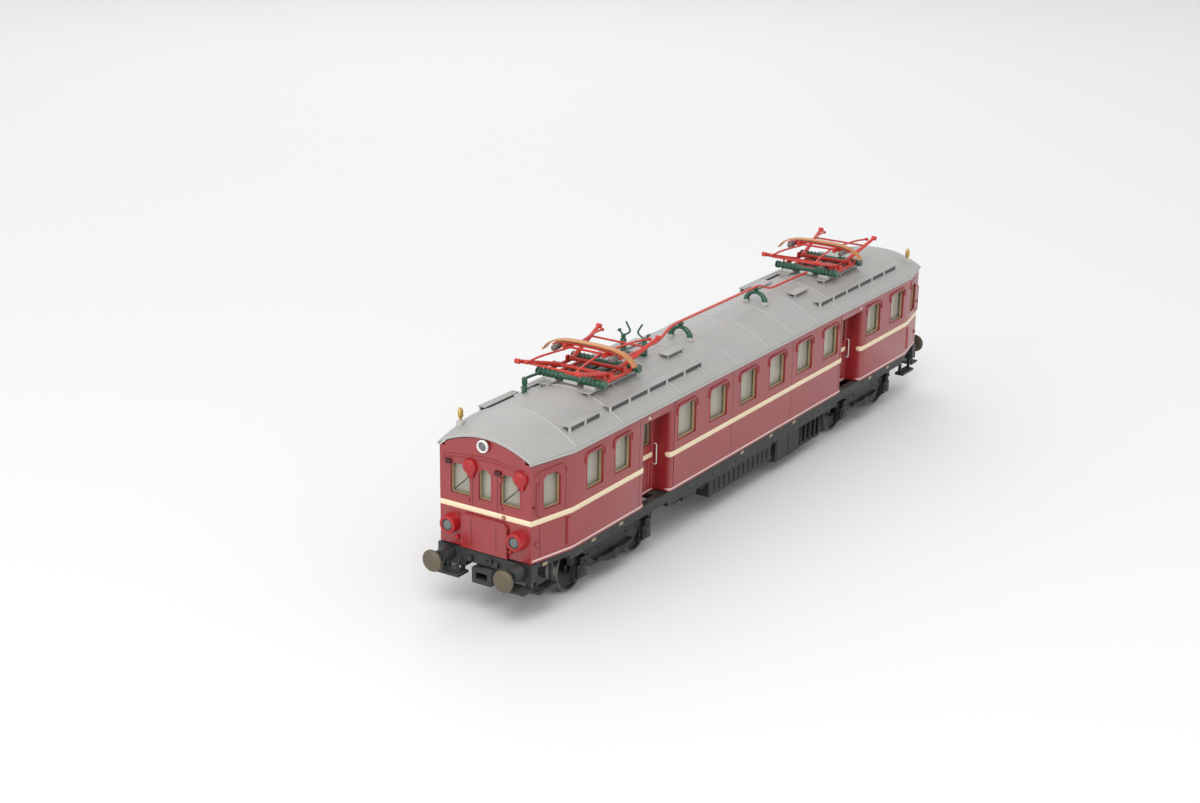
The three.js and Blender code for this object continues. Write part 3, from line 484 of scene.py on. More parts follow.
def circle(sides, radius=1.0):
    """Points of a round section, `sides` of them."""
    angle = np.arange(sides) * 2 * np.pi / sides
    return radius * np.stack([np.cos(angle), np.sin(angle)], -1)


def tube(path, radius, sides=10, up=(0.13, 0.21, 0.97)):
    """A round rod carried along a path; a tilted `up` keeps the section from twisting."""
    return carried(path, circle(sides, radius), up)


def block(low, high, radius=0.12, steps=3):
    """A block as a stack of rounded outlines: each ring is inset by radius * (1 - sin a) and
    rises by radius * (cos a0 - cos a), so every arris is nearly a quarter round."""
    low, high = np.minimum(low, high), np.maximum(low, high)
    radius = min(radius, 0.48 * (high - low).min())
    a = np.linspace(0.2, np.pi / 2, steps)
    turn = (np.linspace(0, np.pi / 2, steps)[None, :]
            + np.arange(4)[:, None] * np.pi / 2).reshape(-1)
    corner = np.repeat([[1, 1], [-1, 1], [-1, -1], [1, -1]], steps, axis=0)
    centre, reach = (low + high)[:2] / 2, (high - low)[:2] / 2 - radius
    flat = centre + corner * reach
    rim = radius * np.sin(a)[:, None, None] * np.stack([np.cos(turn), np.sin(turn)], -1)
    rise = np.broadcast_to((low[2] + radius * (np.cos(a[0]) - np.cos(a)))[:, None, None],
                           (steps, len(flat), 1))
    lower = np.concatenate([flat + rim, rise], -1)
    upper = lower[::-1] * [1, 1, -1] + [0, 0, low[2] + high[2]]
    return skinned(np.concatenate([lower, upper]))


def turned(profile, axis, at, sides=28, loop=False):
    """A profile of [radius, height] pairs spun round an axis through a point."""
    along, u, v = np.roll(np.eye(3), -"xyz".index(axis), 0)
    radius, height = np.asarray(profile, float).T
    angle = (np.arange(sides) + 0.5) * 2 * np.pi / sides
    spokes = np.cos(angle)[:, None] * u + np.sin(angle)[:, None] * v
    rings = (np.asarray(at, float) + height[:, None, None] * along
             + radius[:, None, None] * spokes[None])
    return skinned(rings, loop)


leaf = looped(on_side(opening(53.0, 48.7, 57.5, 16.5, 36.2), RECESS_WALL), 0.5,
              half_round * [0.22, 0.14], RIGHT, 4)
ribs = [carried(on_side([[x, 17.4], [x, 20.4], [x, 23.6]], RECESS_WALL),
                half_round * [0.3, 0.2], RIGHT) for x in (50.4, 52.15, 53.9, 55.65)]
lintel = carried(on_side([[48, 24.0], [53, 24.0], [58, 24.0]], RECESS_WALL),
                 half_round * [0.18, 0.12], RIGHT)
piece("entrance_doors", four_ways([leaf, lintel] + ribs), wine_red)

rails = [tube(eased([[x, -RECESS_WALL, 22.2], [x, -12.0, 22.2], [x, -12.0, 27.6],
                     [x, -RECESS_WALL, 27.6]], 0.5, 6), 0.15) for x in (58.2, 47.9)]
lamp_stud = turned([[0.1, -0.34], [0.3, -0.28], [0.34, -0.1], [0.34, 0.2]], "y",
                   [57.4, -HALF_WIDTH, 37.75], 12)
piece("entrance_handrails", four_ways(rails + [lamp_stud]), white_plastic)
door_knob = turned([[0.12, -0.9], [0.34, -0.85], [0.36, -0.7], [0.14, -0.5], [0.14, 0.1]],
                   "y", [56.9, -RECESS_WALL, 23.0], 12)
piece("entrance_handles", four_ways([door_knob]), chrome)


# ---- Cab doors and panel seams ----
# Each cab has a side door behind the corner: a rain moulding over it that ends in a drop, a
# slim handrail, a grab handle under the stripe, and thin shut lines where the panels meet.
TAPER = (HALF_WIDTH - CAB_HALF_WIDTH) / (FACE - TAPER_FROM)
TAPER_OUT = np.array([TAPER, -1.0, 0.0]) / np.hypot(TAPER, 1)      # outwards at the rear right
shut_line = finish("shut_line", "wine_red_plastic", (74, 10, 12), (52, 8, 10), 0.6,
                   (90, 20, 20), 0.3)


def on_taper(points, out=0.0):
    """Points [x, z] laid on the tapered cab side at the right rear, `out` proud of it."""
    x, z = np.asarray(points, float).T
    wall = np.stack([x, -(HALF_WIDTH - np.maximum(0, x - TAPER_FROM) * TAPER), z], -1)
    return wall + TAPER_OUT * out


door_bead = carried(eased(on_taper([[101.6, 36.2], [100.3, 36.95], [93.4, 37.3], [92.1, 36.4],
                                    [92.1, 35.2]]), 0.7, 5), half_round * [0.26, 0.3],
                    TAPER_OUT)
pane_bead = looped(on_taper(opening(96.6, 93.85, 99.35, 27.45, 35.95)), [0.2, 1.3, 1.3, 0.2],
                   half_round * [0.18, 0.12], TAPER_OUT)
grab = carried(eased(on_taper([[91.5, 17.0], [91.5, 17.4], [91.5, 23.2], [91.5, 23.6]]), 0.2, 3),
               half_round * [0.42, 0.45], TAPER_OUT)
step_plate = turned([[0.2, -0.5], [0.5, -0.42], [0.55, -0.25], [0.55, 0.3]], "y",
                    [101.2, -13.1, 19.6], 12)
piece("cab_door_mouldings", four_ways([door_bead, pane_bead, grab, step_plate]), wine_red)

seam_section = [[-0.07, -0.2], [0.07, -0.2], [0.07, 0.012], [-0.07, 0.012]]
seams = [carried(on_taper([[x, z] for z in heights]), seam_section, TAPER_OUT)
         for heights in ((16.4, 20, 24.2), (25.9, 31, 36.0)) for x in (100.4, 92.4)]
seams += [carried(on_side([[x, z] for z in (low, (low + high) / 2, high)]), seam_section, RIGHT)
          for x in (61.4, 16.3) for low, high in ((16.4, 24.2), (25.9, 38.6))]
keyhole, keyhole_faces = turned([[0.1, -0.06], [0.32, -0.05], [0.34, 0.2]], "x", [0, 0, 0], 12)
corner_stud = (keyhole * [0.6, 1, 1] + on_taper([[102.3, 28.9]], 0.02), keyhole_faces)
piece("shut_lines", four_ways(seams + [corner_stud]), shut_line)

rail_line = on_taper([[100.95, 26.6], [100.95, 26.6], [100.95, 34.2], [100.95, 34.2]])
rail_line[1:3] += TAPER_OUT * 0.6
piece("cab_handrails", four_ways([tube(eased(rail_line, 0.4, 5), 0.14, 8)]), wine_red)


# ---- Cab ends ----
# Front and rear ends: two fine arched beads over the windows, bright red wiper motor covers
# with dark pressed arms, jumper sockets and a ring for a signal flag.
PANEL_PROUD = 0.65                 # how far the doorway panel stands out of the end
CAB_WINDOWS = ((7.0, 2.75), (0.0, 1.75), (-7.0, 2.75))
CAB_WINDOW_LOW, CAB_WINDOW_HIGH = 27.78, 35.52
bright_red = finish("bright_red_moulding", "wine_red_plastic", (172, 22, 28), (150, 16, 22),
                    0.36, (186, 46, 48), 0.3, depth=0.002)
wiper_black = finish("wiper_black", "frame_plastic", (38, 36, 38), (26, 25, 27), 0.5,
                     (70, 68, 70), 0.5)


def on_end(points, out=0.0):
    """Points [y, z] laid on the rear end face, `out` proud of it."""
    y, z = np.asarray(points, float).T
    return np.stack([np.full_like(y, FACE + out), y, z], -1)


def arched(z_side, z_crest, reach):
    """An arch across the end face: height falls with the square of the distance from the
    middle, then turns down at both ends."""
    y = np.linspace(-reach, reach, 25)
    path = on_end(np.stack([y, z_crest - (z_crest - z_side) * (y / reach) ** 2], -1))
    drop = on_end([[-reach - 0.25, z_side - 1.2]])
    return np.concatenate([drop, path, drop * [1, -1, 1]])


def both_ends(shapes, turned_round=False):
    """Fittings of the rear end and the same at the front, mirrored or turned half round."""
    y = -1 if turned_round else 1
    return shapes + [mirrored(shape, -1, y) for shape in shapes]


beads = [carried(arched(*arch), half_round * [0.16, 0.18], REAR)
         for arch in ((36.3, 37.5, 11.2), (37.0, 38.3, 11.5))]
beads += [looped(on_end(opening(y, y - half - 0.12, y + half + 0.12, CAB_WINDOW_LOW,
                                CAB_WINDOW_HIGH)), [0.2, 1.3, 1.3, 0.2],
                 half_round * [0.18, 0.12], REAR) for y, half in CAB_WINDOWS]
# The raised doorway panel's own edge, and the flanges under the corners of the roof.
beads.append(carried(eased(on_end([[-6.3, 15.5], [-6.3, 22.5], [-5.4, 23.5], [5.4, 23.5],
                                   [6.3, 22.5], [6.3, 15.5]], PANEL_PROUD), 0.5, 4),
                     half_round * [0.16, 0.1], REAR))
beads += [block([FACE - 1.1, y * 10.9, 37.9], [FACE - 0.02, y * 12.45, 39.05], 0.08)
          for y in (-1, 1)]
beads += [block([FACE - 0.2, y - 0.35, z], [FACE + 0.3, y + 0.35, z + 1.0], 0.15)
          for y in (4.6, -4.6) for z in (26.6, 33.4)]
piece("cab_end_mouldings", both_ends(beads), wine_red)

seams = [carried(on_end([[y, z] for z in (low, (low + high) / 2, high)]), seam_section, REAR)
         for y in (-3.5, 3.5) for low, high in ((23.9, 24.3), (25.8, 36.2))]
seams += [carried(on_end([[y, 16.4], [y, 19], [y, 22.8]], PANEL_PROUD), seam_section, REAR)
          for y in (-3.5, 3.5)]
piece("cab_end_shut_lines", both_ends(seams), shut_line)

covers, arms, sockets = [], [], []
for y, lap in ((10.0, 0.0), (-4.0, 0.2)):
    # A drum with a domed front and a tail that narrows down to the arm's pivot.
    covers.append(turned([[1.95, -0.5], [1.95, 0.35], [1.8, 0.75], [1.35, 0.98], [0.6, 1.08]],
                         "x", [FACE, y, 35.5], 26))
    tail = between([[FACE + 0.3, y, 35.6], [FACE + 0.35, y + 0.15, 34.2],
                    [FACE + 0.3, y + 0.25, 32.7]], 0.3)
    covers.append(carried(tail, half_round * [1.4, 0.6], REAR,
                          swell=np.linspace([1.3, 1], [0.5, 0.7], len(tail))))
    arms.append(tube([[FACE + 0.75, y + 0.35, 33.4], [FACE + 0.42, y - 1.0, 32.2],
                      [FACE + 0.3, y - 2.6, 30.7]], 0.11, 6))
    arms.append(tube(on_end([[y - 1.5, 31.75], [y - 2.9, 30.45], [y - 4.3, 29.15]], 0.2),
                     0.15, 6))
    sockets.append(block([FACE - 0.2, -y - 0.9 - lap, 34.9], [FACE + 0.55, -y + 0.7, 36.0], 0.2))
covers += [turned([[0.55, -0.4], [0.55, 0.8], [0.4, 1.0], [0.1, 1.05]], "x", [FACE, y, 17.4], 14)
           for y in (7.6, -7.6)]
piece("wiper_covers", both_ends(covers, True), bright_red)
piece("wiper_arms", both_ends(arms, True), wiper_black)
piece("cab_sockets", both_ends(sockets, True), shut_line)
signal_ring = carried(on_end([5.4, 25.0] + circle(20, 0.42), 0.25), circle(8, 0.12), REAR,
                      loop=True)
piece("signal_rings", both_ends([signal_ring], True), wine_red)


# ---- Lamps ----
# White pressed-in ring round the headlight, a dark reflector behind a small clear dome, and
# domed clear lenses in the hooded lower lamps, all ends of one clear light guide.
LOWER_LAMPS, LOWER_Z = (9.4, -9.4), 20.4
lens_grey = finish("lens_grey", "clear_plastic", (104, 106, 106), (78, 80, 82), 0.16,
                   (150, 156, 158), 0.5, depth=0.002, Coat_Weight=0.6, Coat_Roughness=0.04)
reflector = finish("lamp_reflector", "frame_plastic", (62, 64, 66), (44, 46, 48), 0.3,
                   (90, 92, 94), 0.4)
theta = np.arange(16) * np.pi / 8
for end, way in ENDS.items():
    at = [way * FACE, 0, 41.3]
    section = np.stack([1.3 + 0.22 * np.sign(np.cos(theta)) * np.abs(np.cos(theta)) ** 0.6,
                        way * (0.8 + 0.38 * np.sin(theta))], -1)
    piece(f"headlight_bezel_{end}", [turned(section, "x", at, 36, loop=True)], white_plastic,
          [f"headlight_ring_{end}"])
    outwards = np.array([1, way])
    cups = [turned([[1.04, 0.1], [1.04, 0.62], [0.76, 0.5], [0.76, 0.1]] * outwards, "x", at,
                   30, loop=True)]
    domes = [turned([[1.02, 0.62], [1.0, 0.8], [0.8, 0.9], [0.45, 0.97], [0.1, 1.0]] * outwards,
                    "x", at, 30)]
    for y in LOWER_LAMPS:
        at = [way * FACE, y, LOWER_Z]
        cups.append(turned([[1.49, 1.2], [1.49, 2.0], [1.22, 1.82], [1.2, 1.2]] * outwards, "x",
                           at, 30, loop=True))
        domes.append(turned([[1.18, 1.8], [1.1, 1.93], [0.7, 2.04], [0.15, 2.08]] * outwards,
                            "x", at, 26))
    piece(f"lamp_reflectors_{end}", cups, reflector)
    piece(f"lamp_lenses_{end}", domes, lens_grey)
hoods = [turned([[1.42, 0.0], [1.5, 2.12], [2.0, 2.12], [2.16, 2.0], [2.2, 1.7], [2.2, 0.2],
                 [2.42, -0.1]], "x", [FACE, y, LOWER_Z], 30) for y in LOWER_LAMPS]
piece("lamp_hoods", both_ends(hoods), bright_red)


# ---- Glazing, seats and light guides ----
# Clear inserts pushed in behind the windows, a tub of ochre benches between them, and clear
# guides that carry light to the lamps stay as packed, with their own finishes; the thick
# moulded edge of each pane is added as a small bar inside its opening.
def clear_moulding(name, tint, through):
    """Clear styrene: a faint tint that drifts a little, plain transmission, fine flow marks."""
    return finish(name, "clear_plastic", tint, tuple(int(v * 0.94) for v in tint), 0.09,
                  rub=0.1, depth=0.0001, rough_spread=0.02, IOR=1.5,
                  Transmission_Weight=through)


pane_ochre = finish("pane_edge_ochre", "clear_plastic", (176, 160, 122), (150, 132, 96), 0.3,
                    (202, 190, 156), 0.5, Coat_Weight=0.5, Coat_Roughness=0.08)
seat_ochre = finish("seat_ochre", "seat_plastic", (196, 164, 110), (176, 144, 92), 0.55,
                    (210, 184, 136), 0.4)
SET_BACK = 0.8                     # how far a pane's edge lies behind the wall's face
PANE_LOW, PANE_HIGH = 28.04, 36.46


def bar(side, up):
    """Corners of a flat bar's section from its half sizes."""
    return [[-side, -up], [side, -up], [side, up], [-side, up]]


def pane_edge(corners, up):
    """A thin bar round a pane, its corners eased."""
    return looped(corners, [0.15, 1.0, 1.0, 0.15], bar(0.11, 0.3), up, 5)


edges = both_sides([pane_edge(on_side(opening(m, m - h + 0.14, m + h - 0.14, PANE_LOW,
                                              PANE_HIGH), HALF_WIDTH - SET_BACK), RIGHT)
                    for m, h in side_windows])
edges += four_ways([
    pane_edge(on_side(opening(53.05, 49.8, 56.3, PANE_LOW, PANE_HIGH), RECESS_WALL - SET_BACK),
              RIGHT),
    pane_edge(on_taper(opening(96.6, 94.14, 99.06, 27.74, 35.66), -SET_BACK), TAPER_OUT)])
for y, half in CAB_WINDOWS:
    edges += both_ends([pane_edge(on_end(opening(y, y - half + 0.14, y + half - 0.14, PANE_LOW,
                                                 35.26), -SET_BACK), REAR)])
piece("pane_edges", edges, pane_ochre)
dress([f"glazing_{end}" for end in ENDS], clear_moulding("window_clear", (214, 210, 192), 0.45))
dress([f"light_guide_{end}" for end in ENDS],
      clear_moulding("guide_clear", (236, 236, 230), 0.85))
dress(["seat_tub"], seat_ochre)


# ---- Roof ----
# One grey moulding with an arched section, drawn in and down over the cabs, raised joints
# across it, a gutter bead along both eaves, hatch boards and pantograph walk boards; the joint
# beads and gutter beads are a paler grey, a painted highlight along their crests.
CREST, CAB_CREST, EDGE_Z = 46.2, 43.5, 39.1
ROOF_HALF, ROOF_CAB_HALF, ROOF_END = 16.08, 13.18, 103.4
ROOF_DROP = 0.0238                 # fall per square millimetre from the middle
ROOF_JOINTS = np.array([-89.5, -70.0, -43.7, -29.4, -15.5, 1.4, 15.5, 29.4, 43.7, 70.0, 89.5])

roof_grey = finish("roof_grey", "roof_grey_plastic", (170, 169, 166), (158, 157, 154), 0.46,
                   (182, 181, 177), 0.3, dusty=0.25, depth=0.004)
# Paler grey for the eave gutters, the end rims and the roof joint beads is a painted highlight
# along their crests; the whistle plinths and conductor feet share this grey.
pale_grey_and_highlight = finish("pale_grey_and_highlight", "roof_grey_plastic", (190, 189, 185), (178, 177, 173), 0.5,
                     (178, 176, 170), 0.4)


def cab_share(x):
    """0 along the body, rising to 1 at the end faces."""
    return np.clip((np.abs(x) - TAPER_FROM) / (FACE - TAPER_FROM), 0, 1.05)


def roof_reach(x):
    """Half the roof's width, drawn in over the cabs."""
    return ROOF_HALF - (ROOF_HALF - ROOF_CAB_HALF) * cab_share(x)


def roof_height(x, y):
    """Height of the roof: a parabola across, squeezed down as the crest falls over a cab."""
    crest = CREST - (CREST - CAB_CREST) * cab_share(x) ** 1.5
    full = CREST - ROOF_DROP * (y * 16.2 / (roof_reach(x) + 0.12)) ** 2
    return EDGE_Z + (full - EDGE_Z) * (crest - EDGE_Z) / (CREST - EDGE_Z)


# Stations along the car: six rings over each raised joint, a few between, more at the cabs.
over_cab = np.linspace(TAPER_FROM + 0.6, ROOF_END, 11)
stations = np.concatenate([(ROOF_JOINTS[:, None] + [-0.5, -0.28, -0.14, 0.14, 0.28, 0.5]).ravel(),
                           [-57, -50, 50, 57, -22, 22], over_cab, -over_cab])
lifts = np.zeros(len(stations))
lifts[:6 * len(ROOF_JOINTS)] = np.tile([0.0, 0.03, 0.14, 0.14, 0.03, 0.0], len(ROOF_JOINTS))
order = np.argsort(stations)
x, lift = stations[order][:, None], lifts[order][:, None]
half = roof_reach(x)
u = np.sin(np.linspace(-1, 1, 37) * np.pi / 2)[None, :] * 0.35 + np.linspace(-1, 1, 37) * 0.65
outer_z = roof_height(x, u * half) + lift * (1 - np.abs(u) ** 8)
inner = u[:, ::-1] * (1 - 0.03)
inner_z = np.maximum(roof_height(x, inner * half) - (1.0 - 0.6 * cab_share(x) ** 0.7),
                     EDGE_Z + 0.01)
rim = np.full_like(half, EDGE_Z)
ring_y = np.concatenate([-half, u * half, half, half * 0.97, inner * half, half * -0.97], 1)
ring_z = np.concatenate([rim, outer_z, rim, rim, inner_z, rim], 1)
roof_parts = [skinned(np.stack([np.broadcast_to(x, ring_y.shape), ring_y, ring_z], -1))]


def roof_board(x0, x1, y0, y1, posts):
    """A board on short posts that reach down into the roof; posts stand at its outer edge."""
    made = [block([x0, y0, 46.0], [x1, y1, 46.4], 0.1, 2)]
    outer = y0 if abs(y0) > abs(y1) else y1
    inward = -np.sign(outer)
    for at in np.linspace(x0 + 0.6, x1 - 0.6, posts):
        foot = float(roof_height(at, outer + inward * 0.7)) - 0.3
        made.append(block([at - 0.25, outer + inward * 0.2, foot],
                          [at + 0.25, outer + inward * 0.7, 46.2], 0.08, 2))
    return made


for centre in (-60.5, 60.5):
    for y in (-1, 1):
        roof_parts += roof_board(centre - 11, centre + 11, y * 4.4, y * 7.4, 3)
        roof_parts += [block([centre + way * 11, y * 4.2, 45.2],
                             [centre + way * 10.2, y * 5.2, 46.3], 0.1, 2) for way in (-1, 1)]
for centre in (-31.5, 36.5):
    for y in (-1, 1):
        roof_parts += roof_board(centre - 4, centre + 4, y * 4.4, y * 7.2, 2)
        roof_parts.append(block([centre - 0.5, y * 4.4, 45.3], [centre + 0.5, y * 5.0, 46.2],
                                0.08, 2))
piece("roof_moulding", roof_parts, roof_grey, ["roof"])

over_cab = np.linspace(TAPER_FROM, ROOF_END - 0.1, 12)
run = np.concatenate([-over_cab[::-1], [-60, -30, 0, 30, 60], over_cab])
gutter = carried(np.stack([run, 0.03 - roof_reach(run), np.full_like(run, EDGE_Z + 0.32)], -1),
                 [[-0.15, -0.17], [0.1, -0.17], [0.14, -0.1], [0.14, 0.12], [0.1, 0.17],
                  [-0.15, 0.17]], UP)


def roof_bead(at, half, raised, section, up, points, height_at):
    """A half-round bead across the roof at one station, following its height."""
    y = np.linspace(-1, 1, points) * half
    path = np.stack([np.full_like(y, at), y, roof_height(height_at, y) + raised], -1)
    return carried(path, half_round * section, up)


joint_beads = [roof_bead(at, ROOF_HALF - 0.25, 0.12, [0.17, 0.13], UP, 41, at)
               for at in ROOF_JOINTS]
end_rim = roof_bead(ROOF_END - 0.2, ROOF_CAB_HALF - 0.2, -0.02, [0.16, 0.12], [0.3, 0, 1], 31,
                    ROOF_END)
# The gutters, end rims and joint beads take the paler grey as a painted highlight.
piece("gutters", both_sides([gutter]) + both_ends([end_rim]) + joint_beads, pale_grey_and_highlight)


# ---- Roof walkways ----
# Long boards along the shoulders of the roof: pale posts hold an edge board, and a sole strip
# joins the feet of the posts on the roof; its dark grey is partly its own dark paint and partly
# painted shade for the shadow under the boards.
WALK_Y, WALK_INNER, WALK_Z = 12.9, 10.9, 43.65
WALK_SPLIT = (WALK_Y + WALK_INNER) / 2
spans = {"front": [(-88.0, -74.2), (-71.0, -27.5)], "rear": [(36.5, 86.5)]}
post_pale = finish("walkway_post_pale", "roof_grey_plastic", (200, 199, 195), (188, 186, 182),
                   0.5, (180, 178, 172), 0.4)
# Dark grey of the sole strip: partly dark paint and partly painted shade for the shadow beneath the
# boards.
sole_dark_and_painted_shade = finish("walkway_shadow_grey", "roof_grey_plastic", (84, 84, 82), (66, 66, 64), 0.6,
                   (110, 109, 106), 0.4)
sole_foot = float(roof_height(0.0, WALK_Y)) - 0.2
for side, y in SIDES.items():
    for end, boards in spans.items():
        planks, posts, soles = [], [], []
        for x0, x1 in boards:
            planks += [block([x0, y * WALK_INNER, WALK_Z],
                             [x1, y * (WALK_SPLIT - 0.05), WALK_Z + 0.4], 0.09, 2),
                       block([x0, y * (WALK_SPLIT + 0.05), WALK_Z],
                             [x1, y * WALK_Y, WALK_Z + 0.4], 0.09, 2),
                       block([x0 + 0.3, y * (WALK_INNER + 0.2), WALK_Z + 0.02],
                             [x1 - 0.3, y * (WALK_Y - 0.2), WALK_Z + 0.3], 0.05, 2)]
            for at in np.linspace(x0 + 0.5, x1 - 0.5, max(3, round((x1 - x0) / 8) + 1)):
                foot = float(roof_height(at, WALK_Y)) - 0.1
                posts.append(block([at - 0.28, y * (WALK_Y - 0.5), foot],
                                   [at + 0.28, y * (WALK_Y + 0.02), WALK_Z + 0.2], 0.1, 2))
            soles.append(block([x0 + 0.3, y * (WALK_Y - 0.75), sole_foot],
                               [x1 - 0.3, y * (WALK_Y - 0.35), WALK_Z + 0.1], 0.05, 2))
        piece(f"walk_boards_{end}_{side}", planks, roof_grey, [f"walkway_{end}_{side}"])
        piece(f"walk_posts_{end}_{side}", posts, post_pale)
        # The soles carry the dark grey that is partly painted shade under the boards.
        piece(f"walk_soles_{end}_{side}", soles, sole_dark_and_painted_shade)


# ---- Whistles ----
# A turned brass whistle on a grey plinth stands at opposite corners of the roof.
brass = finish("turned_brass", "brass", (214, 184, 112), (186, 152, 84), 0.3, (236, 214, 156),
               0.5, depth=0.0012, Metallic=0.95)
whistle = [[0.34, 1.3], [0.36, 1.9], [0.62, 2.1], [0.66, 2.25], [0.66, 2.9], [0.58, 2.98],
           [0.58, 3.08], [0.66, 3.15], [0.66, 3.6], [0.42, 3.95], [0.38, 4.3], [0.12, 4.4]]
for end, way in ENDS.items():
    x, y = way * 96.8, -way * 11.4
    foot = float(roof_height(x, y))
    piece(f"air_whistle_{end}", [turned(whistle, "z", [x, y, foot], 20)], brass,
          [f"whistle_{end}"])
    plinth = [block([x - 0.8, y - 0.8, foot - 0.75], [x + 0.8, y + 0.8, foot + 1.2], 0.2),
              turned([[0.6, 1.1], [0.6, 1.35], [0.4, 1.45]], "z", [x, y, foot], 16)]
    piece(f"whistle_plinth_{end}", plinth, pale_grey_and_highlight)


# ---- Pantograph insulators ----
# Fat ribbed insulators of green plastic lie across the roof in pale cradles, with skids
# between them; the front set also carries a stand-off arm for the feed.
PANTOGRAPH_X, BAR_X, BAR_Z = 60.5, 7.6, 47.9
ENDS_AT = [(end, way, way * PANTOGRAPH_X) for end, way in ENDS.items()]
insulator_green = finish("insulator_green", "insulator_green", (38, 92, 68), (28, 72, 54), 0.3,
                         (74, 128, 102), 0.4, depth=0.002, Coat_Weight=0.2, Coat_Roughness=0.1)


def ribbed(half, ribs, low=0.72, high=1.08, bare=2.3):
    """Profile of a ribbed bar: the radius swings between low and high along each ribbed part
    as a rounded wave, with a plain waist in the middle and shallow end cups."""
    h = np.linspace(bare, half - 0.35, ribs * 8 + 1)
    swing = 0.5 - 0.5 * np.cos((h - bare) / (half - 0.35 - bare) * ribs * 2 * np.pi)
    r = low + (high - low) * swing ** 0.7
    right = np.stack([np.r_[0.6, 0.6, r, high, high * 0.9, 0.35],
                      np.r_[0.0, bare - 0.2, h, half - 0.3, half - 0.05, half]], -1)
    return np.concatenate([right[1:][::-1] * [1, -1], right])


for end, way, centre in ENDS_AT:
    bars = [turned(ribbed(9.9, 6), "y", [centre + at, 0, BAR_Z], 22) for at in (-BAR_X, BAR_X)]
    bars += [block([centre - BAR_X, y - 0.35, 46.5], [centre + BAR_X, y + 0.35, 46.95], 0.12, 2)
             for y in (-1.6, 1.6)]
    if end == "front":
        bars.append(tube(eased([[centre - BAR_X, 8.2, BAR_Z], [centre - 13.6, 8.2, 48.2],
                                [centre - 15.0, 8.4, 48.1]], 0.8, 5), 0.36, 10))
        foot = float(roof_height(0.0, 8.4)) - 0.3
        post = [[0.7, 0], [0.7, 0.5], [0.5, 0.7], [0.7, 1.0], [0.5, 1.4], [0.7, 1.8],
                [0.5, 2.2], [0.7, 2.6], [0.7, 48.2 - foot], [0.4, 48.5 - foot]]
        bars.append(turned(post, "z", [centre - 15.0, 8.4, foot], 18))
    piece(f"roof_insulators_{end}", bars, insulator_green, [f"pantograph_insulators_{end}"])
    cradles = [block([centre + at - 0.9, y - 1.5, 46.2], [centre + at + 0.9, y + 1.5, 47.1], 0.15)
               for at in (-BAR_X, BAR_X) for y in (-5.6, 5.6)]
    cradles += [block([centre + at - 0.6, -2.0, 46.5], [centre + at + 0.6, 2.0, 47.3], 0.15)
                for at in (-BAR_X, BAR_X)]
    piece(f"insulator_cradles_{end}", cradles, post_pale)


# ---- Pantograph base frames ----
# Red moulded frame on the insulators: two side rails joined by cross members, pivot cheeks
# for the lower arms, and the pair of raising springs stretched along the middle.
PIVOT_X, PIVOT_Z, SPRING_Z = 3.05, 48.8, 47.55
pantograph_red = finish("pantograph_red", "pantograph_red", (204, 60, 42), (184, 46, 34), 0.36,
                        (222, 100, 80), 0.4, depth=0.002)
spring_grey = finish("spring_grey", "steel", (96, 92, 88), (72, 70, 68), 0.4, (140, 136, 130),
                     0.5, Metallic=0.4)


def coil(start, end, radius, turns, wire, round_z=False):
    """A helical spring from start to end: two axes go round a circle, y and z for a spring
    along X, or x and y for an upright one, while the third runs."""
    a = np.linspace(0, turns * 2 * np.pi, int(turns * 10) + 1)
    start, end = np.asarray(start, float), np.asarray(end, float)
    around = np.stack([np.zeros_like(a), radius * np.cos(a), radius * np.sin(a)], -1)
    path = start + (end - start) * (a / a[-1])[:, None] + np.roll(around, -int(round_z), 1)
    return carried(path, circle(5, wire), UP if round_z else REAR)


for end, way, centre in ENDS_AT:
    parts, springs = [], []
    for y in (-1, 1):
        parts.append(block([centre - 6.2, y * 7.9, 47.4], [centre + 6.2, y * 8.6, 48.2], 0.16))
        for at in (-1, 1):
            pivot, corner = centre + at * PIVOT_X, centre + at * 5.9
            parts += [block([pivot - 0.7, y * 8.0, 48.0], [pivot + 0.7, y * 8.6, 49.4], 0.28),
                      turned([[0.34, -0.06], [0.5, 0.0], [0.5, 0.5], [0.34, 0.56]], "y",
                             [pivot, y * 8.35 - 0.25, PIVOT_Z], 16),
                      block([corner - 0.3, y * 8.2, 47.6], [corner + 0.3, y * 8.6, 49.4], 0.12)]
        springs.append(coil([centre - 4.6, y * 3.4, SPRING_Z], [centre + 4.6, y * 3.4, SPRING_Z],
                            0.36, 17, 0.11))
        springs += [tube([[centre + at * reach, y * 3.4, z] for reach, z in
                          ((4.5, SPRING_Z), (5.0, SPRING_Z), (5.5, SPRING_Z + 0.05))], 0.16, 8)
                    for at in (-1, 1)]
    for at in (-1, 1):
        parts += [block([centre + at * 4.9, -8.2, 47.35], [centre + at * 6.2, 8.2, 48.05], 0.2),
                  block([centre - 5.6, at * 5.0, 47.35], [centre + 5.6, at * 5.7, 48.1], 0.18)]
    parts.append(block([centre - 1.0, -8.1, 47.4], [centre + 1.0, 8.1, 47.85], 0.18))
    piece(f"pantograph_frame_{end}", parts, pantograph_red, [f"pantograph_base_{end}"])
    piece(f"raising_springs_{end}", springs, spring_grey)


# ---- Pantograph arms ----
# Lower arms: stout tubes from a cross shaft out to the knees, each end in a turned bearing
# cap, stiffened by a thin brace.  Upper arms: thin bent rods from the knees to the head.
SHAFT_Y, KNEE_X, KNEE_Y, KNEE_Z = 6.8, 17.55, 8.7, 53.1
ELBOW_X, ELBOW_Z = 16.4, 52.75
HEAD_X, HEAD_Z = 1.55, 53.2
BRACE_AT = 0.72                    # share of the way from the shaft to the knees

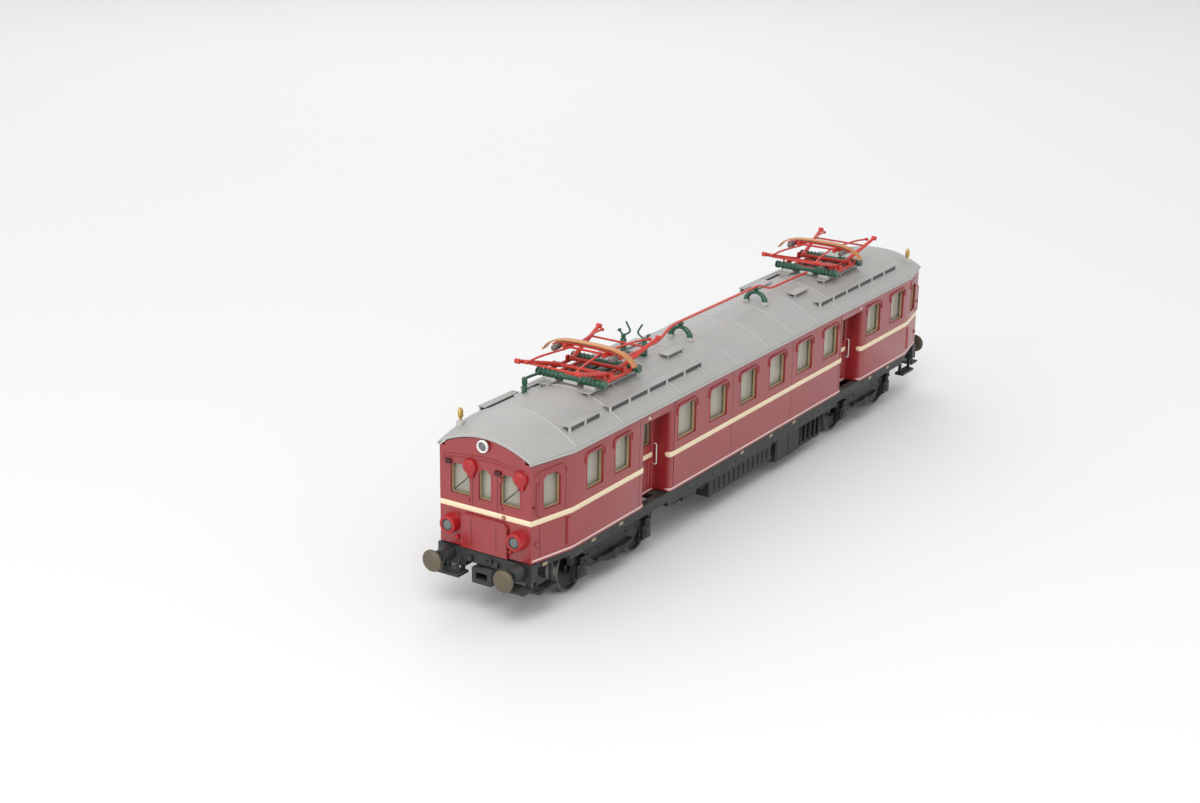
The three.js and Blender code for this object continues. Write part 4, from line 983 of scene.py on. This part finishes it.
for end, way, centre in ENDS_AT:
    for reach in (-1, 1):
        which = "outer" if reach == way else "inner"
        foot = np.array([centre + reach * PIVOT_X, 0, PIVOT_Z])
        knee = np.array([centre + reach * KNEE_X, 0, KNEE_Z])
        lower = [turned([[0.35, -7.6], [0.5, -7.5], [0.5, -6.0], [0.42, -5.8], [0.42, 5.8],
                         [0.5, 6.0], [0.5, 7.5], [0.35, 7.6]], "y", foot, 16)]
        for y in (-1, 1):
            a, b = foot + [0, y * SHAFT_Y, 0], knee + [0, y * KNEE_Y, 0]
            path = between([a, b], 1.2)
            thinner = 0.98 - 0.22 * np.linspace(0, 1, len(path))[:, None]
            lower += [carried(path, circle(14, 0.62), [0.13, 0.21, 0.97],
                              swell=np.repeat(thinner, 2, axis=1)),
                      turned([[0.4, -0.75], [0.68, -0.6], [0.68, 0.6], [0.4, 0.75]], "y", a, 18),
                      turned([[0.35, -0.78], [0.62, -0.66], [0.64, 0.5], [0.4, 0.66]], "y", b,
                             18)]
        brace = foot + (knee - foot) * BRACE_AT + [0, 0, -0.35]
        half = np.array([0, SHAFT_Y + (KNEE_Y - SHAFT_Y) * BRACE_AT, 0])
        lower.append(tube([brace - half, brace, brace + half], 0.26, 10, UP))
        name = f"lower_arm_{end}_{which}"
        piece(f"lower_tubes_{end}_{which}", lower, pantograph_red, [name], name)

        elbow = np.array([centre + reach * ELBOW_X, 0, ELBOW_Z])
        kink = np.array([centre + reach * (ELBOW_X - 4.5), 0, 53.25])
        head = np.array([centre + reach * HEAD_X, 0, HEAD_Z])
        upper = [turned([[0.2, -5.0], [0.3, -4.9], [0.3, 4.9], [0.2, 5.0]], "y", head, 14)]
        for y in (-1, 1):
            upper += [turned([[0.28, -0.45], [0.43, -0.35], [0.43, 0.35], [0.28, 0.45]], "y",
                             elbow + [0, y * 6.95, 0], 16),
                      tube(eased([elbow + [0, y * 6.9, 0], kink + [0, y * 6.2, 0],
                                  head + [0, y * 4.4, 0]], 2.5, 9), 0.27, 10)]
        name = f"upper_arm_{end}_{which}"
        piece(f"upper_rods_{end}_{which}", upper, pantograph_red, [name], name)


# ---- Pantograph heads ----
# A copper collector strip, bowed down at its horns, on a red carrier rail; grey sprung
# canisters hang between the two and give the head its tilt.
copper = finish("strip_copper", "copper", (208, 146, 94), (186, 120, 72), 0.34, (226, 180, 134),
                0.5, depth=0.004, Metallic=0.45)
canister_grey = finish("canister_grey", "pantograph_red", (122, 116, 112), (98, 94, 90), 0.42,
                       (160, 154, 148), 0.4, Metallic=0.3)
bow = np.array([[-13.3, 4.0], [-12.2, 2.2], [-10.2, 1.0], [-7.2, 0.25], [-3, 0], [3, 0],
                [7.2, 0.25], [10.2, 1.0], [12.2, 2.2], [13.3, 4.0]])
strip_section = [[-0.98, -0.16], [-0.86, -0.2], [0.86, -0.2], [0.98, -0.16], [0.98, 0.06],
                 [0.8, 0.19], [-0.8, 0.19], [-0.98, 0.06]]
rail_section = [[-0.84, -0.3], [0.84, -0.3], [0.92, 0.0], [0.84, 0.16], [-0.84, 0.16],
                [-0.92, 0.0]]
canister = [[0.3, -3.6], [0.55, -3.5], [0.76, -3.25], [0.76, -0.8], [0.6, -0.7], [0.6, 0.7],
            [0.76, 0.8], [0.76, 3.25], [0.55, 3.5], [0.3, 3.6]]


def bow_path(centre, top, reach):
    """The bow's line across the car: drops looked up against distance from the middle and
    smoothed by averaging over a short window."""
    y = np.linspace(-reach, reach, 61)
    near = y[:, None] + np.linspace(-0.8, 0.8, 9)[None, :]
    drop = np.interp(near, bow[:, 0], bow[:, 1]).mean(1)
    return np.stack([np.full_like(y, centre), y, top - drop], -1)


for end, way, centre in ENDS_AT:
    head = f"pantograph_head_{end}"
    piece(f"bow_strip_{end}", [carried(bow_path(centre, 54.55, 13.2), strip_section, UP)],
          copper, [f"collector_strip_{end}"], head)
    holder = [carried(bow_path(centre, 53.88, 10.1), rail_section, UP)]
    for y in (-1, 1):
        holder += [block([centre - 2.8, y * 5.4, 52.4], [centre + 2.8, y * 6.0, 53.9], 0.2),
                   block([centre - 0.5, y * 5.6, 52.5], [centre + 0.5, y * 8.4, 53.3], 0.2)]
        holder += [turned([[0.2, -0.5], [0.42, -0.4], [0.42, 0.4], [0.2, 0.5]], "y",
                          [centre + at * 2.1, y * 5.7, 53.2], 12) for at in (-1, 1)]
    piece(f"head_rail_{end}", holder, pantograph_red, [f"head_carrier_{end}"], head)
    cans = [turned(canister, "x", [centre, y * 8.2, 52.7], 18) for y in (-1, 1)]
    piece(f"head_canisters_{end}", cans, canister_grey, body=head)


# ---- Arrester, supports and conductor ----
# Behind the front pantograph a green horn-gap arrester stands on a cross bar; two arched
# twin insulators carry the red bar that joins the pantographs.
ARRESTER_X, CONDUCTOR_Y = -40.2, -1.6
posts = [block([ARRESTER_X - 0.6, -3.8, 46.5], [ARRESTER_X + 0.6, 3.8, 47.2], 0.2)]
rise = np.linspace(0, 1, 33)
stack = np.stack([0.62 + 0.3 * (0.5 - 0.5 * np.cos(rise * 8 * np.pi)) ** 0.8,
                  47.15 + 3.0 * rise], -1)
stack = np.concatenate([[[0.9, 47.0]], stack, [[0.6, 50.4], [0.6, 51.2], [0.3, 51.4]]])
for y in (-1, 1):
    posts += [turned(stack, "z", [ARRESTER_X, y * 3.1, 0], 16),
              tube(eased([[ARRESTER_X, y * 3.1, 50.9], [ARRESTER_X, y * 0.9, 52.3],
                          [ARRESTER_X, y * 2.4, 54.7]], 0.8, 6), 0.25, 8, REAR),
              tube([[ARRESTER_X, y * 3.1, 50.9], [ARRESTER_X, y * 3.8, 51.6],
                    [ARRESTER_X, y * 4.4, 52.3]], 0.25, 8, REAR),
              turned([[0.15, -0.5], [0.36, -0.4], [0.36, 0.4], [0.15, 0.5]], "x",
                     [ARRESTER_X, y * 4.3, 52.2], 12)]
piece("horn_arrester", posts, insulator_green, ["lightning_arrester"])

arch_y, arch_z = np.array([[2.85, 46.5], [2.75, 47.4], [1.7, 48.65], [0, 49.1], [-1.7, 48.65],
                           [-2.75, 47.4], [-2.85, 46.5]]).T
along = np.linspace(0, 6, 61)
line_y = np.interp(along, np.arange(7), arch_y) + CONDUCTOR_Y
line_z = np.interp(along, np.arange(7), arch_z)
for line in (line_y, line_z):
    line[3:-3] = np.convolve(line, np.ones(7) / 7, "valid")
from_top = np.abs(np.linspace(-1, 1, 61))
girth = (0.5 + 0.28 * from_top
         + 0.16 * from_top * (0.5 - 0.5 * np.cos(np.linspace(0, 10 * 2 * np.pi, 61))))
for end, at in (("front", -20.2), ("rear", 19.8)):
    arch = carried(np.stack([np.full(61, at), line_y, line_z], -1), circle(14), REAR,
                   swell=np.repeat(girth[:, None], 2, axis=1))
    clamp = block([at - 0.55, -2.35, 49.6], [at + 0.55, -0.85, 50.35], 0.2)
    piece(f"conductor_arch_{end}", [arch, clamp], insulator_green, [f"conductor_support_{end}"])
    feet = [block([at - 0.9, CONDUCTOR_Y + y - 0.8, 45.6], [at + 0.9, CONDUCTOR_Y + y + 0.8, 46.75],
                  0.2) for y in (-2.85, 2.85)]
    piece(f"conductor_feet_{end}", feet, pale_grey_and_highlight)

line = eased([[x, CONDUCTOR_Y, z] for x, z in
              ((-49.6, 47.9), (-31, 47.9), (-24.5, 50.6), (21.5, 50.6), (27.5, 48.2),
               (49.6, 47.9))], 2.2, 8)
piece("conductor_bar", [carried(line, bar(0.3, 0.24), UP)], pantograph_red, ["roof_conductor"])


# ---- Underframe ----
# Dark grey moulded underframe with its boxes, steps and sole bars, kept as packed; small
# brass-coloured label boxes and cast details are pushed on.
frame_grey = finish("frame_grey", "frame_plastic", (44, 46, 47), (31, 33, 34), 0.5,
                    (80, 80, 78), 0.4, dusty=0.2, depth=0.007, grain_size=1600)
box_grey = finish("box_grey", "frame_plastic", (40, 42, 43), (29, 31, 32), 0.55, (74, 74, 72),
                  0.35, dusty=0.17, depth=0.006)
cast_dark = finish("bogie_cast_dark", "frame_grey", (43, 44, 46), (28, 29, 31), 0.45,
                   (84, 84, 84), 0.45, dusty=0.13, depth=0.007, Metallic=0.25)
pale_brass = finish("pale_brass", "brass", (176, 166, 134), (150, 140, 108), 0.42,
                    (196, 188, 160), 0.5, depth=0.0015, Metallic=0.5)
dress(["underframe"], frame_grey)
dress([f"{box}_{side}" for box in ("battery_box", "switch_cabinet") for side in SIDES], box_grey)

labels = [block([x - 0.9, y, 13.45], [x + 0.9, y + 0.56, 14.3], 0.14, 2)
          for x, y in ((-80, -14.86), (-68, -14.86), (-8.7, -14.86), (7.2, -14.86),
                       (20.5, -14.86), (68, -14.86), (80, -14.86))]
labels.append(block([-98.9, -13.4, 13.45], [-97.1, -12.9, 14.3], 0.14, 2))
piece("brass_small_boxes", both_sides(labels), pale_brass)

dome = [[0.05, -0.19], [0.16, -0.16], [0.24, -0.06], [0.24, 0.12]]
details = [turned(dome, "y", [x, -14.68, z], 8)
           for xs, z in ((np.arange(-44, 45, 4.0), 12.4),
                         (np.r_[np.arange(-88, -47, 4.0), np.arange(48, 89, 4.0)], 12.9))
           for x in xs]
for x in (-22.8, -14.4, -6.0, 2.4):
    details += [block([x, -13.42, 9.9], [x + 7.6, -13.2, 12.6], 0.12, 2),
                block([x + 3.2, -13.55, 9.7], [x + 4.4, -13.3, 10.5], 0.12, 2)]
details += [block([x, -13.24, 4.6], [x + 6, -13.0, 12.3], 0.12, 2) for x in (13.9, 20.5)]
details += [tube([[x, -13.05, 4.6], [x, -13.05, 8.2], [x, -13.05, 11.9]], 0.3, 8, (0, 1, 0))
            for x in (28.3, 31.0, 33.8, 36.6, 39.0)]
details += [tube(eased([[x, -14.2, 12.6], [x, -14.2, 10.2], [x + 3.4, -13.4, 10.0]], 0.6, 4),
                 0.25, 8, (0, 1, 0)) for x in (-29.5, -42.5, 41.6)]
piece("underframe_details", both_sides(details), frame_grey)

beam = [turned([[0.9, -0.1], [0.9, 0.6], [0.6, 0.62], [0.55, 0.3], [0.2, 0.28]], "x",
               [103.5, 1.6, 13.6], 20)]
for y in (-1, 1):
    beam += [turned([[0.3, 0.0], [1.5, 0.0], [1.5, 0.25], [0.3, 0.25]], "x",
                    [103.45, y * 10.05, 13.0], 4),
             block([103.3, y * 3.1, 12.4], [104.3, y * 4.3, 13.6], 0.2),
             tube(eased([[103.3, y * 6.6, 12.6], [104.4, y * 6.6, 12.4],
                         [104.6, y * 6.6, 9.6]], 0.8, 5), 0.3, 10, (0, 1, 0)),
             turned([[0.2, -0.2], [0.52, -0.1], [0.52, 0.9], [0.2, 1.0]], "z",
                    [104.6, y * 6.6, 8.95], 14)]
piece("buffer_beam_fittings", both_ends(beam, True), frame_grey)


# ---- Buffers and couplers ----
# Turned buffers with a slightly domed bronze-grey plate on a dark shank; the coupler arm and
# pocket swing under the beam and stay as packed.
plate_bronze = finish("buffer_plate_bronze", "buffer_metal", (112, 103, 86), (92, 83, 68), 0.42,
                      (140, 131, 112), 0.5, depth=0.002, Metallic=0.55)
plate = [[0.1, 0.0], [1.2, 0.02], [2.2, 0.12], [2.62, 0.3], [2.7, 0.5], [2.68, 0.78],
         [2.5, 0.88], [1.0, 1.15]]
stem = [[0.98, 1.0], [0.98, 3.15], [1.3, 3.2], [1.6, 3.35], [1.66, 3.9], [1.5, 4.0],
        [1.62, 4.4], [1.9, 6.5], [1.9, 6.7]]
for end, way in ENDS.items():
    inwards = np.array([1, -way])
    for side, y in SIDES.items():
        at = [way * 110.5, y * 10.05, 13.0]
        piece(f"buffer_plate_{end}_{side}", [turned(plate * inwards, "x", at, 36)],
              plate_bronze, [f"buffer_{end}_{side}"])
        piece(f"buffer_shank_{end}_{side}", [turned(stem * inwards, "x", at, 28)], frame_grey)
dress([f"coupler_pocket_{end}" for end in ENDS], frame_grey)


# ---- Bogies ----
# Dark cast bogie frames and keeper plates stay as packed; coil springs over the axleboxes,
# turned axlebox covers, the leaves of the bolster springs and bolts finish their sides.
BOGIE_X, HALF_WHEELBASE, AXLE_Z = 68.5, 14.35, 6.62
dress([f"bogie_frame_{end}" for end in ENDS], cast_dark)
dress([f"keeper_plate_{end}" for end in ENDS], frame_grey)
for end, way in ENDS.items():
    centre = way * BOGIE_X
    trim = []
    for y in (-1, 1):
        outwards = np.array([1, y])
        for at in (-1, 1):
            axle, shoe = centre + at * HALF_WHEELBASE, centre + at * (HALF_WHEELBASE - 7.0)
            trim += [turned([[1.25, 0.0], [1.25, 0.24], [1.05, 0.36], [0.35, 0.42],
                             [0.3, 0.56], [0.1, 0.6]] * outwards, "y", [axle, y * 13.4, 6.7], 20),
                     coil([axle, y * 13.0, 8.5], [axle, y * 13.0, 10.0], 0.78, 3.5, 0.16, True),
                     block([shoe - 0.5, y * 8.6, 4.6], [shoe + 0.4, y * 10.0, 8.6], 0.25)]
            trim += [block([axle + s - 0.25, y * 12.5, 4.4], [axle + s + 0.25, y * 12.95, 8.6],
                           0.1, 2) for s in (-2.2, 2.2)]
        for k in range(4):
            s = np.linspace(-1, 1, 17) * (7.6 - 1.55 * k)
            leaf = np.stack([centre + s, np.full(17, y * 13.0),
                             6.85 - 0.44 * k + 0.5 * (s / 8) ** 2], -1)
            trim.append(carried(leaf, bar(0.68, 0.17), UP))
        trim.append(block([centre - 1.1, y * 12.2, 4.9], [centre + 1.1, y * 13.78, 7.4], 0.2))
        trim += [turned([[0.3, 0.0], [0.3, 0.2], [0.16, 0.3]] * outwards, "y",
                        [centre + at, y * 12.55, 9.4], 8)
                 for at in (-15.6, -10.6, -6.2, 6.2, 10.6, 15.6)]
    piece(f"bogie_trim_{end}", trim, cast_dark, body=f"bogie_{end}")


# ---- Wheelsets ----
# Turned steel wheels on their axles, with a dished, dark-painted web and a bright tread; the
# finish reads a map that runs round the wheel and from the middle of the axle to the rim.
wheel = bpy.data.materials.new("wheel_turned_steel")
wheel.use_nodes = True
tree = wheel.node_tree
shader = tree.nodes["Principled BSDF"]
shader.inputs["Metallic"].default_value = 0.85
marks = wired(tree, "UVMap", give="UV", uv_map="lathe")
rim_share = wired(tree, "SeparateXYZ", {"Vector": marks}, "Y")
tone = wired(tree, "Group", give="Tone", node_tree=skin)
steel = mixed(tree, ramped(tree, rim_share, 0.80, 0.84),
              mixed(tree, tone, linear(64, 62, 60), linear(44, 43, 42)),
              mixed(tree, tone, linear(128, 126, 122), linear(104, 102, 99)))
rings = wired(tree, "TexWave", {"Vector": marks, "Scale": 60.0, "Distortion": 0.6}, "Fac",
              bands_direction="Y")
relief = wired(tree, "Bump", {"Height": rings, "Strength": 0.3, "Distance": 0.004 * MM},
               "Normal")
for label, value in (("Base Color", steel), ("Normal", relief),
                     ("Roughness", ramped(tree, rings, 0.0, 1.0, 0.28, 0.46))):
    tree.links.new(value, shader.inputs[label])

half_set = np.array([[0.2, 10.85], [0.6, 10.6], [1.0, 10.3], [1.5, 10.2], [1.6, 9.9],
                     [1.9, 9.5], [4.4, 9.5], [4.8, 9.7], [4.95, 10.05], [5.6, 10.08],
                     [5.72, 10.0], [5.75, 8.3], [6.0, 8.0], [6.45, 7.9], [6.58, 7.7],
                     [6.58, 7.45], [6.3, 7.22], [5.0, 7.2], [4.8, 7.5], [2.0, 7.6],
                     [1.6, 7.3], [1.0, 7.1], [0.95, 6.6]])
profile = np.concatenate([half_set, half_set[::-1] * [1, -1]])
WHEEL_SIDES, WHEEL_RADIUS = 40, 6.6
for end, way in ENDS.items():
    for at in (-1, 1):
        which = "outer" if at == way else "inner"
        name = f"wheelset_{end}_{which}"
        axle = [way * BOGIE_X + at * HALF_WHEELBASE, 0, AXLE_Z]
        mesh = piece(f"wheels_{end}_{which}", [turned(profile, "y", axle, WHEEL_SIDES)],
                     (wheel, "wheel_steel"), [name], name).data
        corner = np.empty(len(mesh.loops), np.int32)
        mesh.loops.foreach_get("vertex_index", corner)
        uv = np.stack([corner % WHEEL_SIDES / WHEEL_SIDES,
                       profile[corner // WHEEL_SIDES, 0] / WHEEL_RADIUS], -1)
        mesh.uv_layers.new(name="lathe").data.foreach_set("uv",
                                                          uv.astype(np.float32).reshape(-1))


# ---- Drive ----
# Inside the car a can motor turns a cardan shaft and a worm over the front bogie; these are
# kept as packed.
motor_dark = finish("motor_case", "steel", (70, 72, 76), (54, 56, 60), 0.36,
                    (110, 112, 116), 0.5, Metallic=0.6)
steel_plain = finish("plain_steel", "steel", (150, 150, 150), (124, 124, 124), 0.3,
                     (190, 190, 190), 0.5, Metallic=0.9)
dress(["motor_frame"], motor_dark)
dress(["motor_spindle"], steel_plain)
dress(["worm_shaft"], brass)
